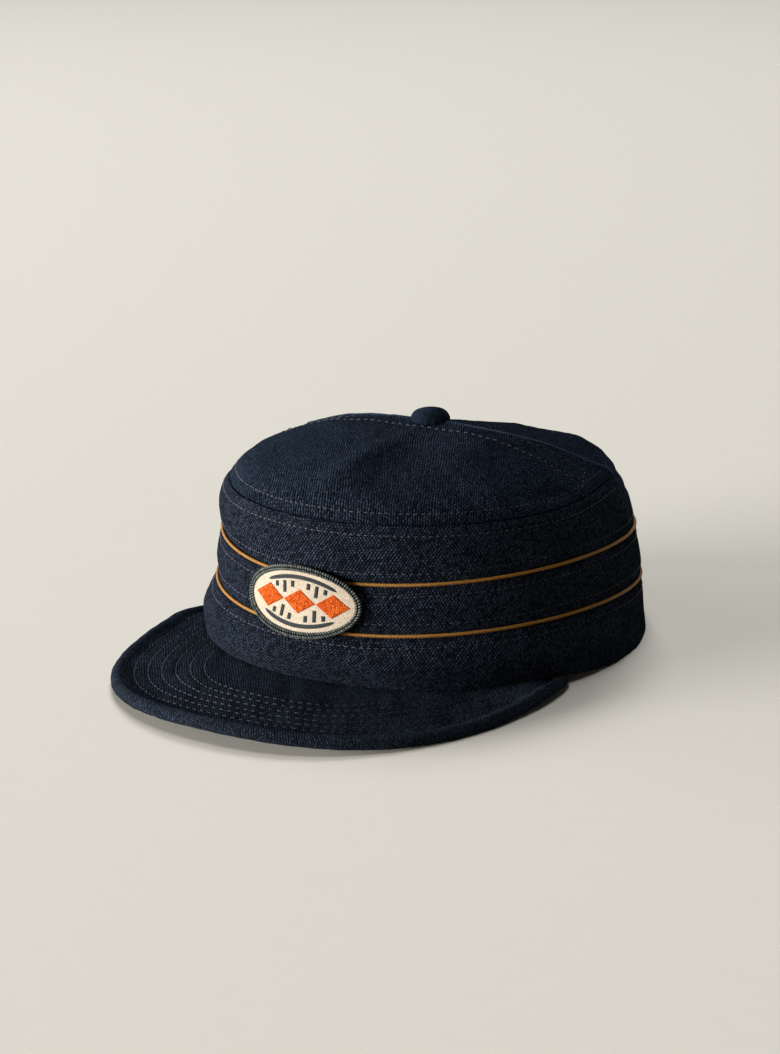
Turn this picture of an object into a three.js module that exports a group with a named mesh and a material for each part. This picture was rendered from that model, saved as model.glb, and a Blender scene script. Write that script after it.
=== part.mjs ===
import * as THREE from 'three';
import { mergeVertices } from 'three/addons/utils/BufferGeometryUtils.js';

// Soft painter cap: two-part crown top, three stitched side bands, two piping cords,
// cloth button, stitched visor with a rolled binding and an oval badge.
// Units are mm, +Z is up and the visor points to -Y.
// Angles go round the upright axis of the crown: 0 at the front, +90 at the wearer's left.

// Crown cloth
const STEPS_ROUND = 60;
const STEPS_FRONT = 36;
const STEPS_BACK = 26;
const WALL_BAND = 2.5;
const WALL_TOP = 1.9;
const SEAM_GAP = 0.3;
const CORD_TUCK = 1.4;
const CORD_TUCK_REACH = 1.7;
const GROOVE_TUCK = 0.8;
const GROOVE_TUCK_REACH = 2.2;

// Side seam: it runs from the button to just behind the ear, then straight down
const SIDE_SEAM_TURN = 16.0;
const SIDE_SEAM_BEND = 0.55;
const SIDE_SEAM_LIFT = 5.6;
const SIDE_SEAM_LIFT_REACH = 25;

// Hem: it rides up a little over each end of the visor
const VISOR_TIP_ANGLE = 60;
const VISOR_TIP_LIFT = 2.8;
const VISOR_TIP_REACH = 20;

// Cords
const CORD_RADIUS = 0.9;
const CORD_SIDES = 6;
const CORD_SET = -0.2;

// Button
const BUTTON_RADIUS = 7.8;
const BUTTON_HEIGHT = 5.4;
const BUTTON_STEPS = 20;
const SHANK_RADIUS = 1.9;
const SHANK_LENGTH = 2.7;

// Visor and binding
const VISOR_HALF_WIDTH = 89.2;
const VISOR_REACH = 113.0;
const VISOR_ROOT_Y = -51.4;
const VISOR_ROUNDNESS = 2.26;
const VISOR_FRONT_Z = 6.8;
const VISOR_SLOPE = 0.085;
const VISOR_ARCH = -11.7;
const VISOR_THICKNESS = 3.0;
const VISOR_STEPS = 40;
const VISOR_ROOT_ANGLE = 62.5;
const VISOR_TIP_SHARE = 0.962;
const BINDING_END_Y = -37.0;
const BINDING_HALF_WIDTH = 3.2;
const BINDING_HALF_HEIGHT = 2.5;
const BINDING_END_SIZE = 0.45;
const BINDING_END_LENGTH = 16;
const BINDING_END_DROP = 2.8;
const BINDING_STEPS = 56;
const BINDING_SIDES = 8;

// Badge
const BADGE_ANGLE = -1.0;
const BADGE_LEVEL = 3.06;
const BADGE_HALF_WIDTH = 27.2;
const BADGE_HALF_HEIGHT = 14.5;
const BADGE_BORDER = 2.7;
const BADGE_STAND_OFF = 2.2;
const BADGE_THICKNESS = 1.2;
const BADGE_BEND_UP = 0.9;
const BADGE_BEND_DOWN = 1.7;
const BADGE_STEPS = 36;

// Rings of the crown's outer cloth, each with its front, side and back value
const RINGS = [
  { at: 'hem', rFront: 102.6, rSide: 92.5, rBack: 99.6, zFront: 6.5, zSide: 0.3, zBack: -0.3 },
  { at: 'lower middle', rFront: 104.4, rSide: 91.6, rBack: 98.4, zFront: 16.1, zSide: 15.0, zBack: 8.7 },
  { at: 'lower cord', rFront: 97.2, rSide: 88.3, rBack: 99.2, zFront: 25.8, zSide: 26.6, zBack: 17.8 },
  { at: 'middle', rFront: 97.0, rSide: 87.8, rBack: 96.7, zFront: 35.2, zSide: 37.6, zBack: 30.0 },
  { at: 'upper cord', rFront: 93.4, rSide: 86.4, rBack: 93.5, zFront: 45.8, zSide: 48.7, zBack: 41.5 },
  { at: 'bulge', rFront: 95.5, rSide: 84.8, rBack: 90.3, zFront: 58.2, zSide: 59.5, zBack: 52.4 },
  { at: 'groove', rFront: 93.3, rSide: 79.5, rBack: 85.9, zFront: 71.1, zSide: 68.2, zBack: 60.8 },
  { at: 'shoulder', rFront: 79.4, rSide: 69.6, rBack: 75.5, zFront: 81.0, zSide: 78.5, zBack: 73.3 },
  { at: 'inner', rFront: 46.2, rSide: 39.5, rBack: 42.9, zFront: 87.5, zSide: 87.3, zBack: 77.2 },
  { at: 'centre', rFront: 0, rSide: 0, rBack: 0, zFront: 90.6, zSide: 90.6, zBack: 90.6 },
];

// Soft hollows and swells of the crown top and front band
const RELIEF = [
  { at: 'centre ridge', angle: 2, level: 7.5, halfAngle: 9, halfLevel: 0.9, lift: 1.4 },
  { at: 'left of ridge', angle: -34, level: 7.7, halfAngle: 22, halfLevel: 0.8, lift: -0.7 },
  { at: 'right of ridge', angle: 32, level: 7.2, halfAngle: 18, halfLevel: 0.8, lift: -1.2 },
  { at: 'side hollow', angle: 68, level: 6.55, halfAngle: 9, halfLevel: 0.3, lift: -1.5 },
  { at: 'side swell', angle: 96, level: 7.4, halfAngle: 18, halfLevel: 0.9, lift: 1.3 },
  { at: 'back swell', angle: 140, level: 7.3, halfAngle: 24, halfLevel: 0.9, lift: 0.9 },
  { at: 'back hollow', angle: -155, level: 7.0, halfAngle: 20, halfLevel: 0.8, lift: -1.0 },
  { at: 'band swell', angle: -62, level: 5.1, halfAngle: 16, halfLevel: 0.5, lift: 0.8 },
];

const HEM_LEVEL = 0;
const LOWER_CORD_LEVEL = 2;
const UPPER_CORD_LEVEL = 4;
const GROOVE_LEVEL = 6;
const HOLE_LEVEL = 8.947;
const EDGE = 0.015;
const TOP_LEVELS = [6 + EDGE, 6.12, 6.35, 6.7, 7.1, 7.5, 8.0, 8.45, 8.75, HOLE_LEVEL];
const BACK_LEVELS = [4 + EDGE, 4.12, 4.4, 5.0, 5.5];
const FRONT_BAND_LEVELS = [4 + EDGE, 4.12, 4.4, 5.0, 5.6, 5.86, 6 - EDGE];
const MIDDLE_BAND_LEVELS = [2 + EDGE, 2.13, 2.4, 3.0, 3.6, 3.87, 4 - EDGE];
const LOWER_BAND_LEVELS = [0, 0.3, 0.7, 1.1, 1.5, 1.85, 2 - EDGE];

const radians = (degrees) => (degrees * Math.PI) / 180;
const bell = (x) => Math.exp(-x * x);
const wrap = (degrees) => ((((degrees + 180) % 360) + 360) % 360) - 180;

// Harmonic blend round the crown of a front, a side and a back value
function blend(front, side, back, angle) {
  const second = ((front + back) / 2 - side) / 2;
  const a = radians(angle);
  return side + second + ((front - back) / 2) * Math.cos(a) + second * Math.cos(2 * a);
}

// Radius and height of one ring at an angle
function ringAt(index, angle) {
  const ring = RINGS[index];
  const r = blend(ring.rFront, ring.rSide, ring.rBack, angle);
  let z = blend(ring.zFront, ring.zSide, ring.zBack, angle);
  if (index === GROOVE_LEVEL) {
    const off = Math.abs(angle) - 90 - SIDE_SEAM_TURN;
    z += SIDE_SEAM_LIFT * bell(off / SIDE_SEAM_LIFT_REACH);
  }
  if (index === HEM_LEVEL) {
    z += VISOR_TIP_LIFT * bell((Math.abs(angle) - VISOR_TIP_ANGLE) / VISOR_TIP_REACH);
  }
  return [r, z];
}

// Smooth curve through the rings at a level, which counts the rings from the hem up
function profileAt(level, angle) {
  const last = RINGS.length - 1;
  const i = Math.min(Math.floor(level), last - 1);
  const f = level - i;
  const b = ringAt(i, angle);
  const c = ringAt(i + 1, angle);
  let a;
  let d;
  if (i === 0) {
    a = [2 * b[0] - c[0], 2 * b[1] - c[1]];
  } else {
    a = ringAt(i - 1, angle);
  }
  if (i === last - 1) {
    d = [-b[0], b[1]];
  } else {
    d = ringAt(i + 2, angle);
  }
  return [0, 1].map((k) => {
    const cubic = 3 * (b[k] - c[k]) + d[k] - a[k];
    const square = 2 * a[k] - 5 * b[k] + 4 * c[k] - d[k];
    return b[k] + 0.5 * f * (c[k] - a[k] + f * (square + f * cubic));
  });
}

// Angle of the side seam at a level
function sideSeamAngle(level) {
  const share = Math.min(1, Math.max(0, (9 - level) / 3));
  return 90 + SIDE_SEAM_TURN * share ** SIDE_SEAM_BEND;
}

// Height of the cloth above the smooth curve: hollows and swells, less the tuck at each seam
function reliefAt(level, angle, z) {
  let lift = 0;
  for (const spot of RELIEF) {
    const a = wrap(angle - spot.angle) / spot.halfAngle;
    const l = (level - spot.level) / spot.halfLevel;
    lift += spot.lift * bell(Math.hypot(a, l));
  }
  let tuck = 0;
  for (const cord of [LOWER_CORD_LEVEL, UPPER_CORD_LEVEL]) {
    const height = ringAt(cord, angle)[1];
    tuck += CORD_TUCK * bell((z - height) / CORD_TUCK_REACH);
  }
  if (Math.abs(angle) <= sideSeamAngle(level)) {
    const height = ringAt(GROOVE_LEVEL, angle)[1];
    tuck += GROOVE_TUCK * bell((z - height) / GROOVE_TUCK_REACH) * (level > 5 ? 1 : 0);
  }
  return [lift, tuck];
}

// Point of the crown's outer face, or of its inner face when an inset is given
function crownPoint(level, angle, inset = 0) {
  const step = 0.01;
  const low = profileAt(Math.max(0, level - step), angle);
  const high = profileAt(Math.min(9, level + step), angle);
  const [r, z] = profileAt(level, angle);
  const dr = high[0] - low[0];
  const dz = high[1] - low[1];
  const length = Math.hypot(dr, dz);
  const [lift, tuck] = reliefAt(level, angle, z);
  const out = inset > 0 ? lift - inset : lift - tuck;
  const radius = r + (out * dz) / length;
  const height = z - (out * dr) / length;
  const a = radians(angle);
  return new THREE.Vector3(radius * Math.sin(a), -radius * Math.cos(a), Math.max(height, 0));
}

// Closed mesh from rows of points that go round a section; the rows run along a path
function sweep(rows, closed) {
  const count = rows.length;
  const sides = rows[0].length;
  const position = [];
  const index = [];
  for (const row of rows) {
    for (const p of row) {
      position.push(p.x, p.y, p.z);
    }
  }
  const spans = closed ? count : count - 1;
  for (let i = 0; i < spans; i += 1) {
    const next = (i + 1) % count;
    for (let j = 0; j < sides; j += 1) {
      const side = (j + 1) % sides;
      const a = i * sides + j;
      const b = next * sides + j;
      const c = next * sides + side;
      const d = i * sides + side;
      index.push(a, b, c, a, c, d);
    }
  }
  if (!closed) {
    const half = sides / 2;
    const end = (count - 1) * sides;
    for (let j = 0; j < half - 1; j += 1) {
      const other = sides - 1 - j;
      index.push(j, j + 1, other, j + 1, other - 1, other);
      index.push(end + j, end + other, end + j + 1, end + j + 1, end + other, end + other - 1);
    }
  }
  const geometry = new THREE.BufferGeometry();
  geometry.setAttribute('position', new THREE.Float32BufferAttribute(position, 3));
  geometry.setIndex(index);
  return outward(geometry);
}

// Turns the faces of a closed mesh outward when its signed volume is negative
function outward(geometry) {
  const p = geometry.getAttribute('position');
  const index = geometry.getIndex().array;
  const a = new THREE.Vector3();
  const b = new THREE.Vector3();
  const c = new THREE.Vector3();
  let volume = 0;
  for (let i = 0; i < index.length; i += 3) {
    a.fromBufferAttribute(p, index[i]);
    b.fromBufferAttribute(p, index[i + 1]);
    c.fromBufferAttribute(p, index[i + 2]);
    volume += a.dot(b.cross(c));
  }
  if (volume < 0) {
    for (let i = 0; i < index.length; i += 3) {
      const keep = index[i + 1];
      index[i + 1] = index[i + 2];
      index[i + 2] = keep;
    }
  }
  geometry.computeVertexNormals();
  return geometry;
}

// Whole band round the crown between two levels
function bandRing(levels) {
  const inner = [levels[levels.length - 1], (levels[0] + levels[levels.length - 1]) / 2, levels[0]];
  const rows = [];
  for (let i = 0; i < STEPS_ROUND; i += 1) {
    const angle = (360 * i) / STEPS_ROUND - 180;
    const outside = levels.map((level) => crownPoint(level, angle));
    const inside = inner.map((level) => crownPoint(level, angle, WALL_BAND));
    rows.push([...outside, ...inside]);
  }
  return sweep(rows, true);
}

// Panel that reaches from one side seam to the other, over the front or over the back
function halfPanel(levels, steps, back, wall) {
  const rows = [];
  for (let i = 0; i <= steps; i += 1) {
    const share = (2 * i) / steps - 1;
    const section = (inset) => levels.map((level) => {
      const seam = sideSeamAngle(level);
      const radius = Math.max(profileAt(level, seam)[0], 1);
      const gap = (SEAM_GAP * 0.5 * 180) / (Math.PI * radius);
      const angle = back ? 180 + share * (180 - seam - gap) : share * (seam - gap);
      return crownPoint(level, angle > 180 ? angle - 360 : angle, inset);
    });
    rows.push([...section(0), ...section(wall).reverse()]);
  }
  return sweep(rows, false);
}

// Piping cord that follows a seam round the crown
function cordRing(level) {
  const rows = [];
  for (let i = 0; i < STEPS_ROUND; i += 1) {
    const angle = (360 * i) / STEPS_ROUND - 180;
    const [r, z] = ringAt(level, angle);
    const a = radians(angle);
    const row = [];
    for (let j = 0; j < CORD_SIDES; j += 1) {
      const turn = (2 * Math.PI * j) / CORD_SIDES;
      const radius = r + CORD_SET + CORD_RADIUS * Math.cos(turn);
      const height = z + CORD_RADIUS * Math.sin(turn);
      row.push(new THREE.Vector3(radius * Math.sin(a), -radius * Math.cos(a), height));
    }
    rows.push(row);
  }
  return sweep(rows, true);
}

// Domed cloth button with its short shank
function buttonSolid() {
  const base = RINGS[9].zFront + SEAM_GAP;
  const foot = base - SHANK_LENGTH;
  const profile = [new THREE.Vector2(0, foot), new THREE.Vector2(SHANK_RADIUS, foot)];
  profile.push(new THREE.Vector2(SHANK_RADIUS, base), new THREE.Vector2(BUTTON_RADIUS * 0.9, base));
  for (let i = 0; i <= 6; i += 1) {
    const t = radians((90 * i) / 6);
    const r = BUTTON_RADIUS * Math.cos(t) ** 0.75;
    const z = base + BUTTON_HEIGHT * (0.16 + 0.84 * Math.sin(t) ** 0.9);
    profile.push(new THREE.Vector2(i === 6 ? 0 : r, z));
  }
  const geometry = new THREE.LatheGeometry(profile, BUTTON_STEPS);
  geometry.rotateX(Math.PI / 2);
  return weld(geometry);
}

// Joins the doubled points of a turned shape, so that its faces share them
function weld(source) {
  source.deleteAttribute('normal');
  source.deleteAttribute('uv');
  const joined = mergeVertices(source, 0.001);
  const index = [];
  const old = joined.getIndex().array;
  for (let i = 0; i < old.length; i += 3) {
    const [a, b, c] = [old[i], old[i + 1], old[i + 2]];
    if (a !== b && b !== c && c !== a) {
      index.push(a, b, c);
    }
  }
  joined.setIndex(index);
  return outward(joined);
}

// Height of the visor's rim line over the floor
function rimHeight(x, y) {
  const front = VISOR_ROOT_Y - VISOR_REACH;
  const width = Math.min(1, Math.abs(x) / VISOR_HALF_WIDTH);
  return VISOR_FRONT_Z + VISOR_SLOPE * (y - front) + VISOR_ARCH * width ** 2;
}

// Rim line of the visor, evenly spaced from the wearer's right to the left
function rimLine(steps) {
  const fine = [];
  const power = 2 / VISOR_ROUNDNESS;
  const drop = BINDING_END_Y - VISOR_ROOT_Y;
  const tail = 12;
  for (let i = -tail; i <= 0; i += 1) {
    const y = VISOR_ROOT_Y - (drop * i) / tail;
    const x = -VISOR_HALF_WIDTH + 0.0088 * (y - VISOR_ROOT_Y) ** 2;
    fine.push(new THREE.Vector3(x, y, rimHeight(x, y)));
  }
  for (let i = -239; i < 240; i += 1) {
    const t = radians((90 * i) / 240);
    const x = VISOR_HALF_WIDTH * Math.sign(t) * Math.abs(Math.sin(t)) ** power;
    const y = VISOR_ROOT_Y - VISOR_REACH * Math.cos(t) ** power;
    fine.push(new THREE.Vector3(x, y, rimHeight(x, y)));
  }
  for (let i = 0; i <= tail; i += 1) {
    const p = fine[tail - i];
    fine.push(new THREE.Vector3(-p.x, p.y, p.z));
  }
  const length = [0];
  for (let i = 1; i < fine.length; i += 1) {
    length.push(length[i - 1] + fine[i].distanceTo(fine[i - 1]));
  }
  const total = length[length.length - 1];
  const line = [];
  for (let i = 0; i <= steps; i += 1) {
    line.push(pointAlong(fine, length, (total * i) / steps));
  }
  return { line, fine, length, total };
}

// Point of a polyline at a distance from its start
function pointAlong(points, length, distance) {
  let k = 1;
  while (k < points.length - 1 && length[k] < distance) {
    k += 1;
  }
  const f = (distance - length[k - 1]) / (length[k] - length[k - 1]);
  return points[k - 1].clone().lerp(points[k], Math.min(1, Math.max(0, f)));
}

// Unit vector from the rim line toward the crown, level with the floor
function rimInward(points, k) {
  const a = points[Math.max(0, k - 1)];
  const b = points[Math.min(points.length - 1, k + 1)];
  return new THREE.Vector3(-(b.y - a.y), b.x - a.x, 0).normalize();
}

// Visor board between the hem and the binding
function visorSolid() {
  const rim = rimLine(BINDING_STEPS);
  const across = [0, 0.06, 0.3, 0.65, 1];
  const rows = [];
  for (let i = 0; i <= VISOR_STEPS; i += 1) {
    const share = (2 * i) / VISOR_STEPS - 1;
    const angle = share * VISOR_ROOT_ANGLE;
    const [hemRadius, hemHeight] = ringAt(HEM_LEVEL, angle);
    const root = hemRadius - WALL_BAND;
    const a = radians(angle);
    const start = new THREE.Vector3(root * Math.sin(a), -root * Math.cos(a), hemHeight - SEAM_GAP - 0.05);
    const along = (0.5 + 0.5 * share * VISOR_TIP_SHARE) * rim.total;
    const p = pointAlong(rim.fine, rim.length, along - 0.5);
    const q = pointAlong(rim.fine, rim.length, along + 0.5);
    const inward = rimInward([p, p, q, q], 1);
    const end = p.clone().lerp(q, 0.5).addScaledVector(inward, BINDING_HALF_WIDTH + SEAM_GAP);
    end.z = Math.min(end.z + VISOR_THICKNESS / 2, start.z + 0.06 * start.distanceTo(end));
    const top = across.map((f) => start.clone().lerp(end, f));
    const under = across.map((f, k) => top[k].clone());
    under.forEach((point) => {
      point.z = Math.max(0.4, point.z - VISOR_THICKNESS);
    });
    rows.push([...top, ...under.reverse()]);
  }
  return sweep(rows, false);
}

// Rolled binding round the visor's edge
function bindingSolid() {
  const rim = rimLine(BINDING_STEPS);
  const rows = rim.line.map((p, k) => {
    const inward = rimInward(rim.line, k);
    const fromEnd = Math.min(k, BINDING_STEPS - k) * (rim.total / BINDING_STEPS);
    const share = Math.min(1, fromEnd / BINDING_END_LENGTH);
    const size = BINDING_END_SIZE + (1 - BINDING_END_SIZE) * share ** 0.6;
    const drop = BINDING_END_DROP * (1 - share) ** 1.5;
    const row = [];
    for (let j = 0; j < BINDING_SIDES; j += 1) {
      const turn = (2 * Math.PI * (j + 0.5)) / BINDING_SIDES;
      const across = size * BINDING_HALF_WIDTH * 1.04 * Math.cos(turn);
      const point = p.clone().addScaledVector(inward, across);
      point.z = Math.max(0, p.z - drop + size * BINDING_HALF_HEIGHT * 1.08 * Math.sin(turn));
      row.push(point);
    }
    return row;
  });
  return sweep(rows, false);
}

// Point over the badge's place: across and up in mm from its centre, stand-off from the cloth
function badgePoint(across, up, offset) {
  const [midRadius] = ringAt(3, BADGE_ANGLE);
  const angle = BADGE_ANGLE + (across / midRadius) * (180 / Math.PI);
  const bend = (up > 0 ? BADGE_BEND_UP : BADGE_BEND_DOWN) * (up / BADGE_HALF_HEIGHT) ** 2;
  const out = offset + bend;
  const low = ringAt(LOWER_CORD_LEVEL, angle);
  const high = ringAt(UPPER_CORD_LEVEL, angle);
  const length = Math.hypot(high[0] - low[0], high[1] - low[1]);
  const f = 0.5 * (BADGE_LEVEL - 2) + up / length;
  const r = low[0] + (high[0] - low[0]) * f + (out * (high[1] - low[1])) / length;
  const z = low[1] + (high[1] - low[1]) * f - (out * (high[0] - low[0])) / length;
  const a = radians(angle);
  return new THREE.Vector3(r * Math.sin(a), -r * Math.cos(a), z);
}

// Oval badge cloth
function badgeCloth() {
  const halfWidth = BADGE_HALF_WIDTH - BADGE_BORDER - SEAM_GAP;
  const halfHeight = BADGE_HALF_HEIGHT - BADGE_BORDER - SEAM_GAP;
  const scales = [0.05, 0.4, 0.75, 1];
  const face = BADGE_STAND_OFF + BADGE_THICKNESS;
  const rows = [];
  for (let i = 0; i < BADGE_STEPS; i += 1) {
    const t = (2 * Math.PI * i) / BADGE_STEPS;
    const across = halfWidth * Math.cos(t);
    const up = halfHeight * Math.sin(t);
    const at = (scale, offset) => badgePoint(across * scale, up * scale, offset);
    rows.push([scales.map((s) => at(s, face)), scales.map((s) => at(s, BADGE_STAND_OFF))]);
  }
  const position = [];
  const index = [];
  const width = scales.length * 2;
  for (const [front, behind] of rows) {
    for (const p of [...front, ...behind]) {
      position.push(p.x, p.y, p.z);
    }
  }
  const centres = [badgePoint(0, 0, face), badgePoint(0, 0, BADGE_STAND_OFF)];
  for (const p of centres) {
    position.push(p.x, p.y, p.z);
  }
  const hub = BADGE_STEPS * width;
  for (let i = 0; i < BADGE_STEPS; i += 1) {
    const a = i * width;
    const b = ((i + 1) % BADGE_STEPS) * width;
    const n = scales.length;
    index.push(hub, a, b, hub + 1, b + n, a + n);
    for (let k = 0; k < n - 1; k += 1) {
      index.push(a + k, a + k + 1, b + k + 1, a + k, b + k + 1, b + k);
      index.push(a + n + k, b + n + k, b + n + k + 1, a + n + k, b + n + k + 1, a + n + k + 1);
    }
    index.push(a + n - 1, a + 2 * n - 1, b + 2 * n - 1, a + n - 1, b + 2 * n - 1, b + n - 1);
  }
  const geometry = new THREE.BufferGeometry();
  geometry.setAttribute('position', new THREE.Float32BufferAttribute(position, 3));
  geometry.setIndex(index);
  return outward(geometry);
}

// Raised thread border round the badge
function badgeBorder() {
  const rows = [];
  for (let i = 0; i < BADGE_STEPS; i += 1) {
    const t = (2 * Math.PI * i) / BADGE_STEPS;
    const row = [];
    for (let j = 0; j < 8; j += 1) {
      const turn = (2 * Math.PI * (j + 0.5)) / 8;
      const out = -BADGE_BORDER / 2 + (BADGE_BORDER / 2) * 1.04 * Math.cos(turn);
      const up = BADGE_STAND_OFF + 0.95 + 0.95 * 1.04 * Math.sin(turn);
      const across = (BADGE_HALF_WIDTH + out) * Math.cos(t);
      const rise = (BADGE_HALF_HEIGHT + out) * Math.sin(t);
      row.push(badgePoint(across, rise, up));
    }
    rows.push(row);
  }
  return sweep(rows, true);
}

// Plain matt material of one colour
function matt(name, color, roughness) {
  return new THREE.MeshStandardMaterial({ name, color, roughness, metalness: 0 });
}

const cloth = matt('navy_cloth', 0x1b2233, 0.95);
const visorCloth = matt('visor_cloth', 0x1b2233, 0.95);
const gold = matt('gold_cord', 0xb08a4a, 0.7);
const cream = matt('badge_cloth', 0xd8cdbb, 0.9);
const thread = matt('badge_thread', 0x2f3538, 0.8);

const backLevels = [...BACK_LEVELS, ...TOP_LEVELS];

const makeTop = () => halfPanel(TOP_LEVELS, STEPS_FRONT, false, WALL_TOP);
const makeBack = () => halfPanel(backLevels, STEPS_BACK, true, WALL_TOP);
const makeFrontBand = () => halfPanel(FRONT_BAND_LEVELS, STEPS_FRONT, false, WALL_TOP);

const pieces = [
  { name: 'crown_top_front', make: makeTop, material: cloth },
  { name: 'crown_back', make: makeBack, material: cloth },
  { name: 'front_band', make: makeFrontBand, material: cloth },
  { name: 'middle_band', make: () => bandRing(MIDDLE_BAND_LEVELS), material: cloth },
  { name: 'lower_band', make: () => bandRing(LOWER_BAND_LEVELS), material: cloth },
  { name: 'upper_cord', make: () => cordRing(UPPER_CORD_LEVEL), material: gold },
  { name: 'lower_cord', make: () => cordRing(LOWER_CORD_LEVEL), material: gold },
  { name: 'top_button', make: buttonSolid, material: cloth },
  { name: 'visor', make: visorSolid, material: visorCloth },
  { name: 'visor_binding', make: bindingSolid, material: visorCloth },
  { name: 'badge', make: badgeCloth, material: cream },
  { name: 'badge_border', make: badgeBorder, material: thread },
];

const cap = new THREE.Group();
cap.name = 'painter_cap';
const bounds = new THREE.Box3();
for (const piece of pieces) {
  const geometry = piece.make();
  geometry.computeBoundingBox();
  bounds.union(geometry.boundingBox);
  const mesh = new THREE.Mesh(geometry, piece.material);
  mesh.name = piece.name;
  cap.add(mesh);
}

// The origin goes to the middle of the footprint, on the floor
const middle = bounds.getCenter(new THREE.Vector3());
for (const mesh of cap.children) {
  mesh.geometry.translate(-middle.x, -middle.y, -bounds.min.z);
}

export default cap;
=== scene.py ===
import math

import bpy
import numpy as np
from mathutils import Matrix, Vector


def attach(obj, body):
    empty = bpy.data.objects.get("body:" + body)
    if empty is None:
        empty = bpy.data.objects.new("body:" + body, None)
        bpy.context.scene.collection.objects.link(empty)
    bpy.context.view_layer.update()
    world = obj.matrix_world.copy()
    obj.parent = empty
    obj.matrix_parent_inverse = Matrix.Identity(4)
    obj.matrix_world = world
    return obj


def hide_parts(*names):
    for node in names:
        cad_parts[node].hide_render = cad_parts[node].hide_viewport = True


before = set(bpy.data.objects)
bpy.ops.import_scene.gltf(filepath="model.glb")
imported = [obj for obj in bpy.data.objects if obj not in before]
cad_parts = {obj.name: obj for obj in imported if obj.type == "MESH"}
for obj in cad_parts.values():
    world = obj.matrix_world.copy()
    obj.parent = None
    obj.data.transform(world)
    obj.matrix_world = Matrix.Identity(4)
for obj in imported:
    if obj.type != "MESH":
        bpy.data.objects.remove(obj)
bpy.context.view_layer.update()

# Painter cap in navy twill: a crown of two tops and three bands with gold cords between them,
# a cloth button, a quilted visor with a rolled binding, and an oval badge with a plain pattern.
#
# Shapes are worked out in mm round the crown's upright axis: x = y = 0 on the axis, the visor
# points to -Y, and the floor is z = 0. Angles go round the axis in degrees, 0 at the front and
# +90 at the wearer's left. Levels count the rings of the crown from the hem up.
# place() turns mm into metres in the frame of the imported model.

TAU = 2 * np.pi
# Shift in mm from the crown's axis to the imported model's frame
AXIS_Y = 33.787
# Levels of the seams, of the hole for the button's shank, and of a panel's edge beside its seam
HEM, LOWER_CORD, UPPER_CORD, GROOVE, TOP = 0, 2, 4, 6, 9
HOLE, EDGE = 8.947, 0.015
# In mm: gap between panels, thickness of the bands and of the top, radius that unrolls the wall map
SEAM_GAP, WALL_BAND, WALL_TOP, MEAN_RADIUS = 0.3, 2.5, 1.9, 92.0
# Tucks at the cords and the groove, the channel of a stitch row, and the turned-in edge at a seam, in mm
CORD_TUCK, CORD_TUCK_REACH, GROOVE_TUCK, GROOVE_TUCK_REACH = 1.15, 1.45, 0.38, 1.8
CHANNEL, CHANNEL_REACH, TURN_IN = 0.22, 1.2, 0.75
CORD_RADIUS = 0.70
BUTTON_RADIUS, BUTTON_HEIGHT, SHANK_RADIUS, SHANK_DEPTH = 8.3, 5.4, 1.9, 2.7

# Rings of the crown's cloth: radius at the front, side and back, then height at the same places
RINGS = np.array([
    [102.6, 92.5, 99.6, 6.5, 0.3, -0.3],
    [104.4, 91.6, 98.4, 16.1, 15.0, 8.7],
    [97.2, 88.3, 99.2, 25.8, 26.6, 17.8],
    [97.0, 87.8, 96.7, 35.2, 37.6, 30.0],
    [93.4, 86.4, 93.5, 45.8, 48.7, 41.5],
    [95.5, 84.8, 90.3, 58.2, 59.5, 52.4],
    [93.3, 79.5, 85.9, 71.1, 68.2, 60.8],
    [79.4, 69.6, 75.5, 81.0, 78.5, 73.3],
    [46.2, 39.5, 42.9, 87.5, 87.3, 77.2],
    [0.0, 0.0, 0.0, 90.6, 90.6, 90.6],
])

# Hollows and swells of the soft crown: angle, level, half angle, half level, lift in mm
RELIEF = np.array([
    [2, 7.5, 9, 0.9, 1.4],
    [-34, 7.7, 22, 0.8, -0.7],
    [32, 7.2, 18, 0.8, -1.2],
    [68, 6.55, 9, 0.3, -1.5],
    [96, 7.4, 18, 0.9, 1.3],
    [140, 7.3, 24, 0.9, 0.9],
    [-155, 7.0, 20, 0.8, -1.0],
    [-62, 5.1, 16, 0.5, 0.8],
])

# Puckers in front of the button: place, lean in radians, size; swells before the cross rows: place, size
PUCKERS = [(-5.0, -48.5, 0.5, 0.34), (4.0, -44.0, 0.35, 0.26), (-9.0, -55.0, 0.6, 0.18)]
PULLS = [(24.0, 0.22), (36.0, 0.3), (52.0, 0.2), (-30.0, 0.25), (-47.0, 0.2)]

# Side seam: its turn backward in degrees and the power that follows; rise of the groove there in mm and its
# half angle; rise of the hem over the visor's tips, with the angle and half angle of each
SIDE_TURN, SIDE_BEND = 16.0, 0.55
SIDE_LIFT, SIDE_LIFT_REACH = 5.6, 25.0
TIP_ANGLE, TIP_LIFT, TIP_REACH = 60.0, 2.2, 16.0

# Stitch rows that run round the crown: seam level, distance up from it in mm, half angle, stitch pitch
ROUND_ROWS = [
    (GROOVE, 4.9, 101.0, 2.85),
    (GROOVE, -4.7, 103.0, 2.85),
    (UPPER_CORD, 4.7, 180.0, 3.1),
    (UPPER_CORD, -4.7, 180.0, 3.1),
    (LOWER_CORD, 4.7, 180.0, 3.1),
    (LOWER_CORD, -5.0, 180.0, 3.1),
]
# Rows that cross the top from ear to ear: distance behind the axis, spread with the distance from the
# middle, and the plan distance from the middle where each starts and ends; a short row joins their ends
CROSS_ROWS = [(-9.5, 0.0, 0.3, 77.5), (0.4, 0.035, 20.0, 72.4)]
CROSS_END = [(72.4, 2.9), (77.6, -9.5)]
CROSS_PITCH, VISOR_PITCH = 3.5, 3.6
STITCH_SHARE = 0.66
# Places of a bead's rings along its length, from -1 to 1
BEAD_PLACES = np.array([-0.97, -0.6, 0.0, 0.6, 0.97])

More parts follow.
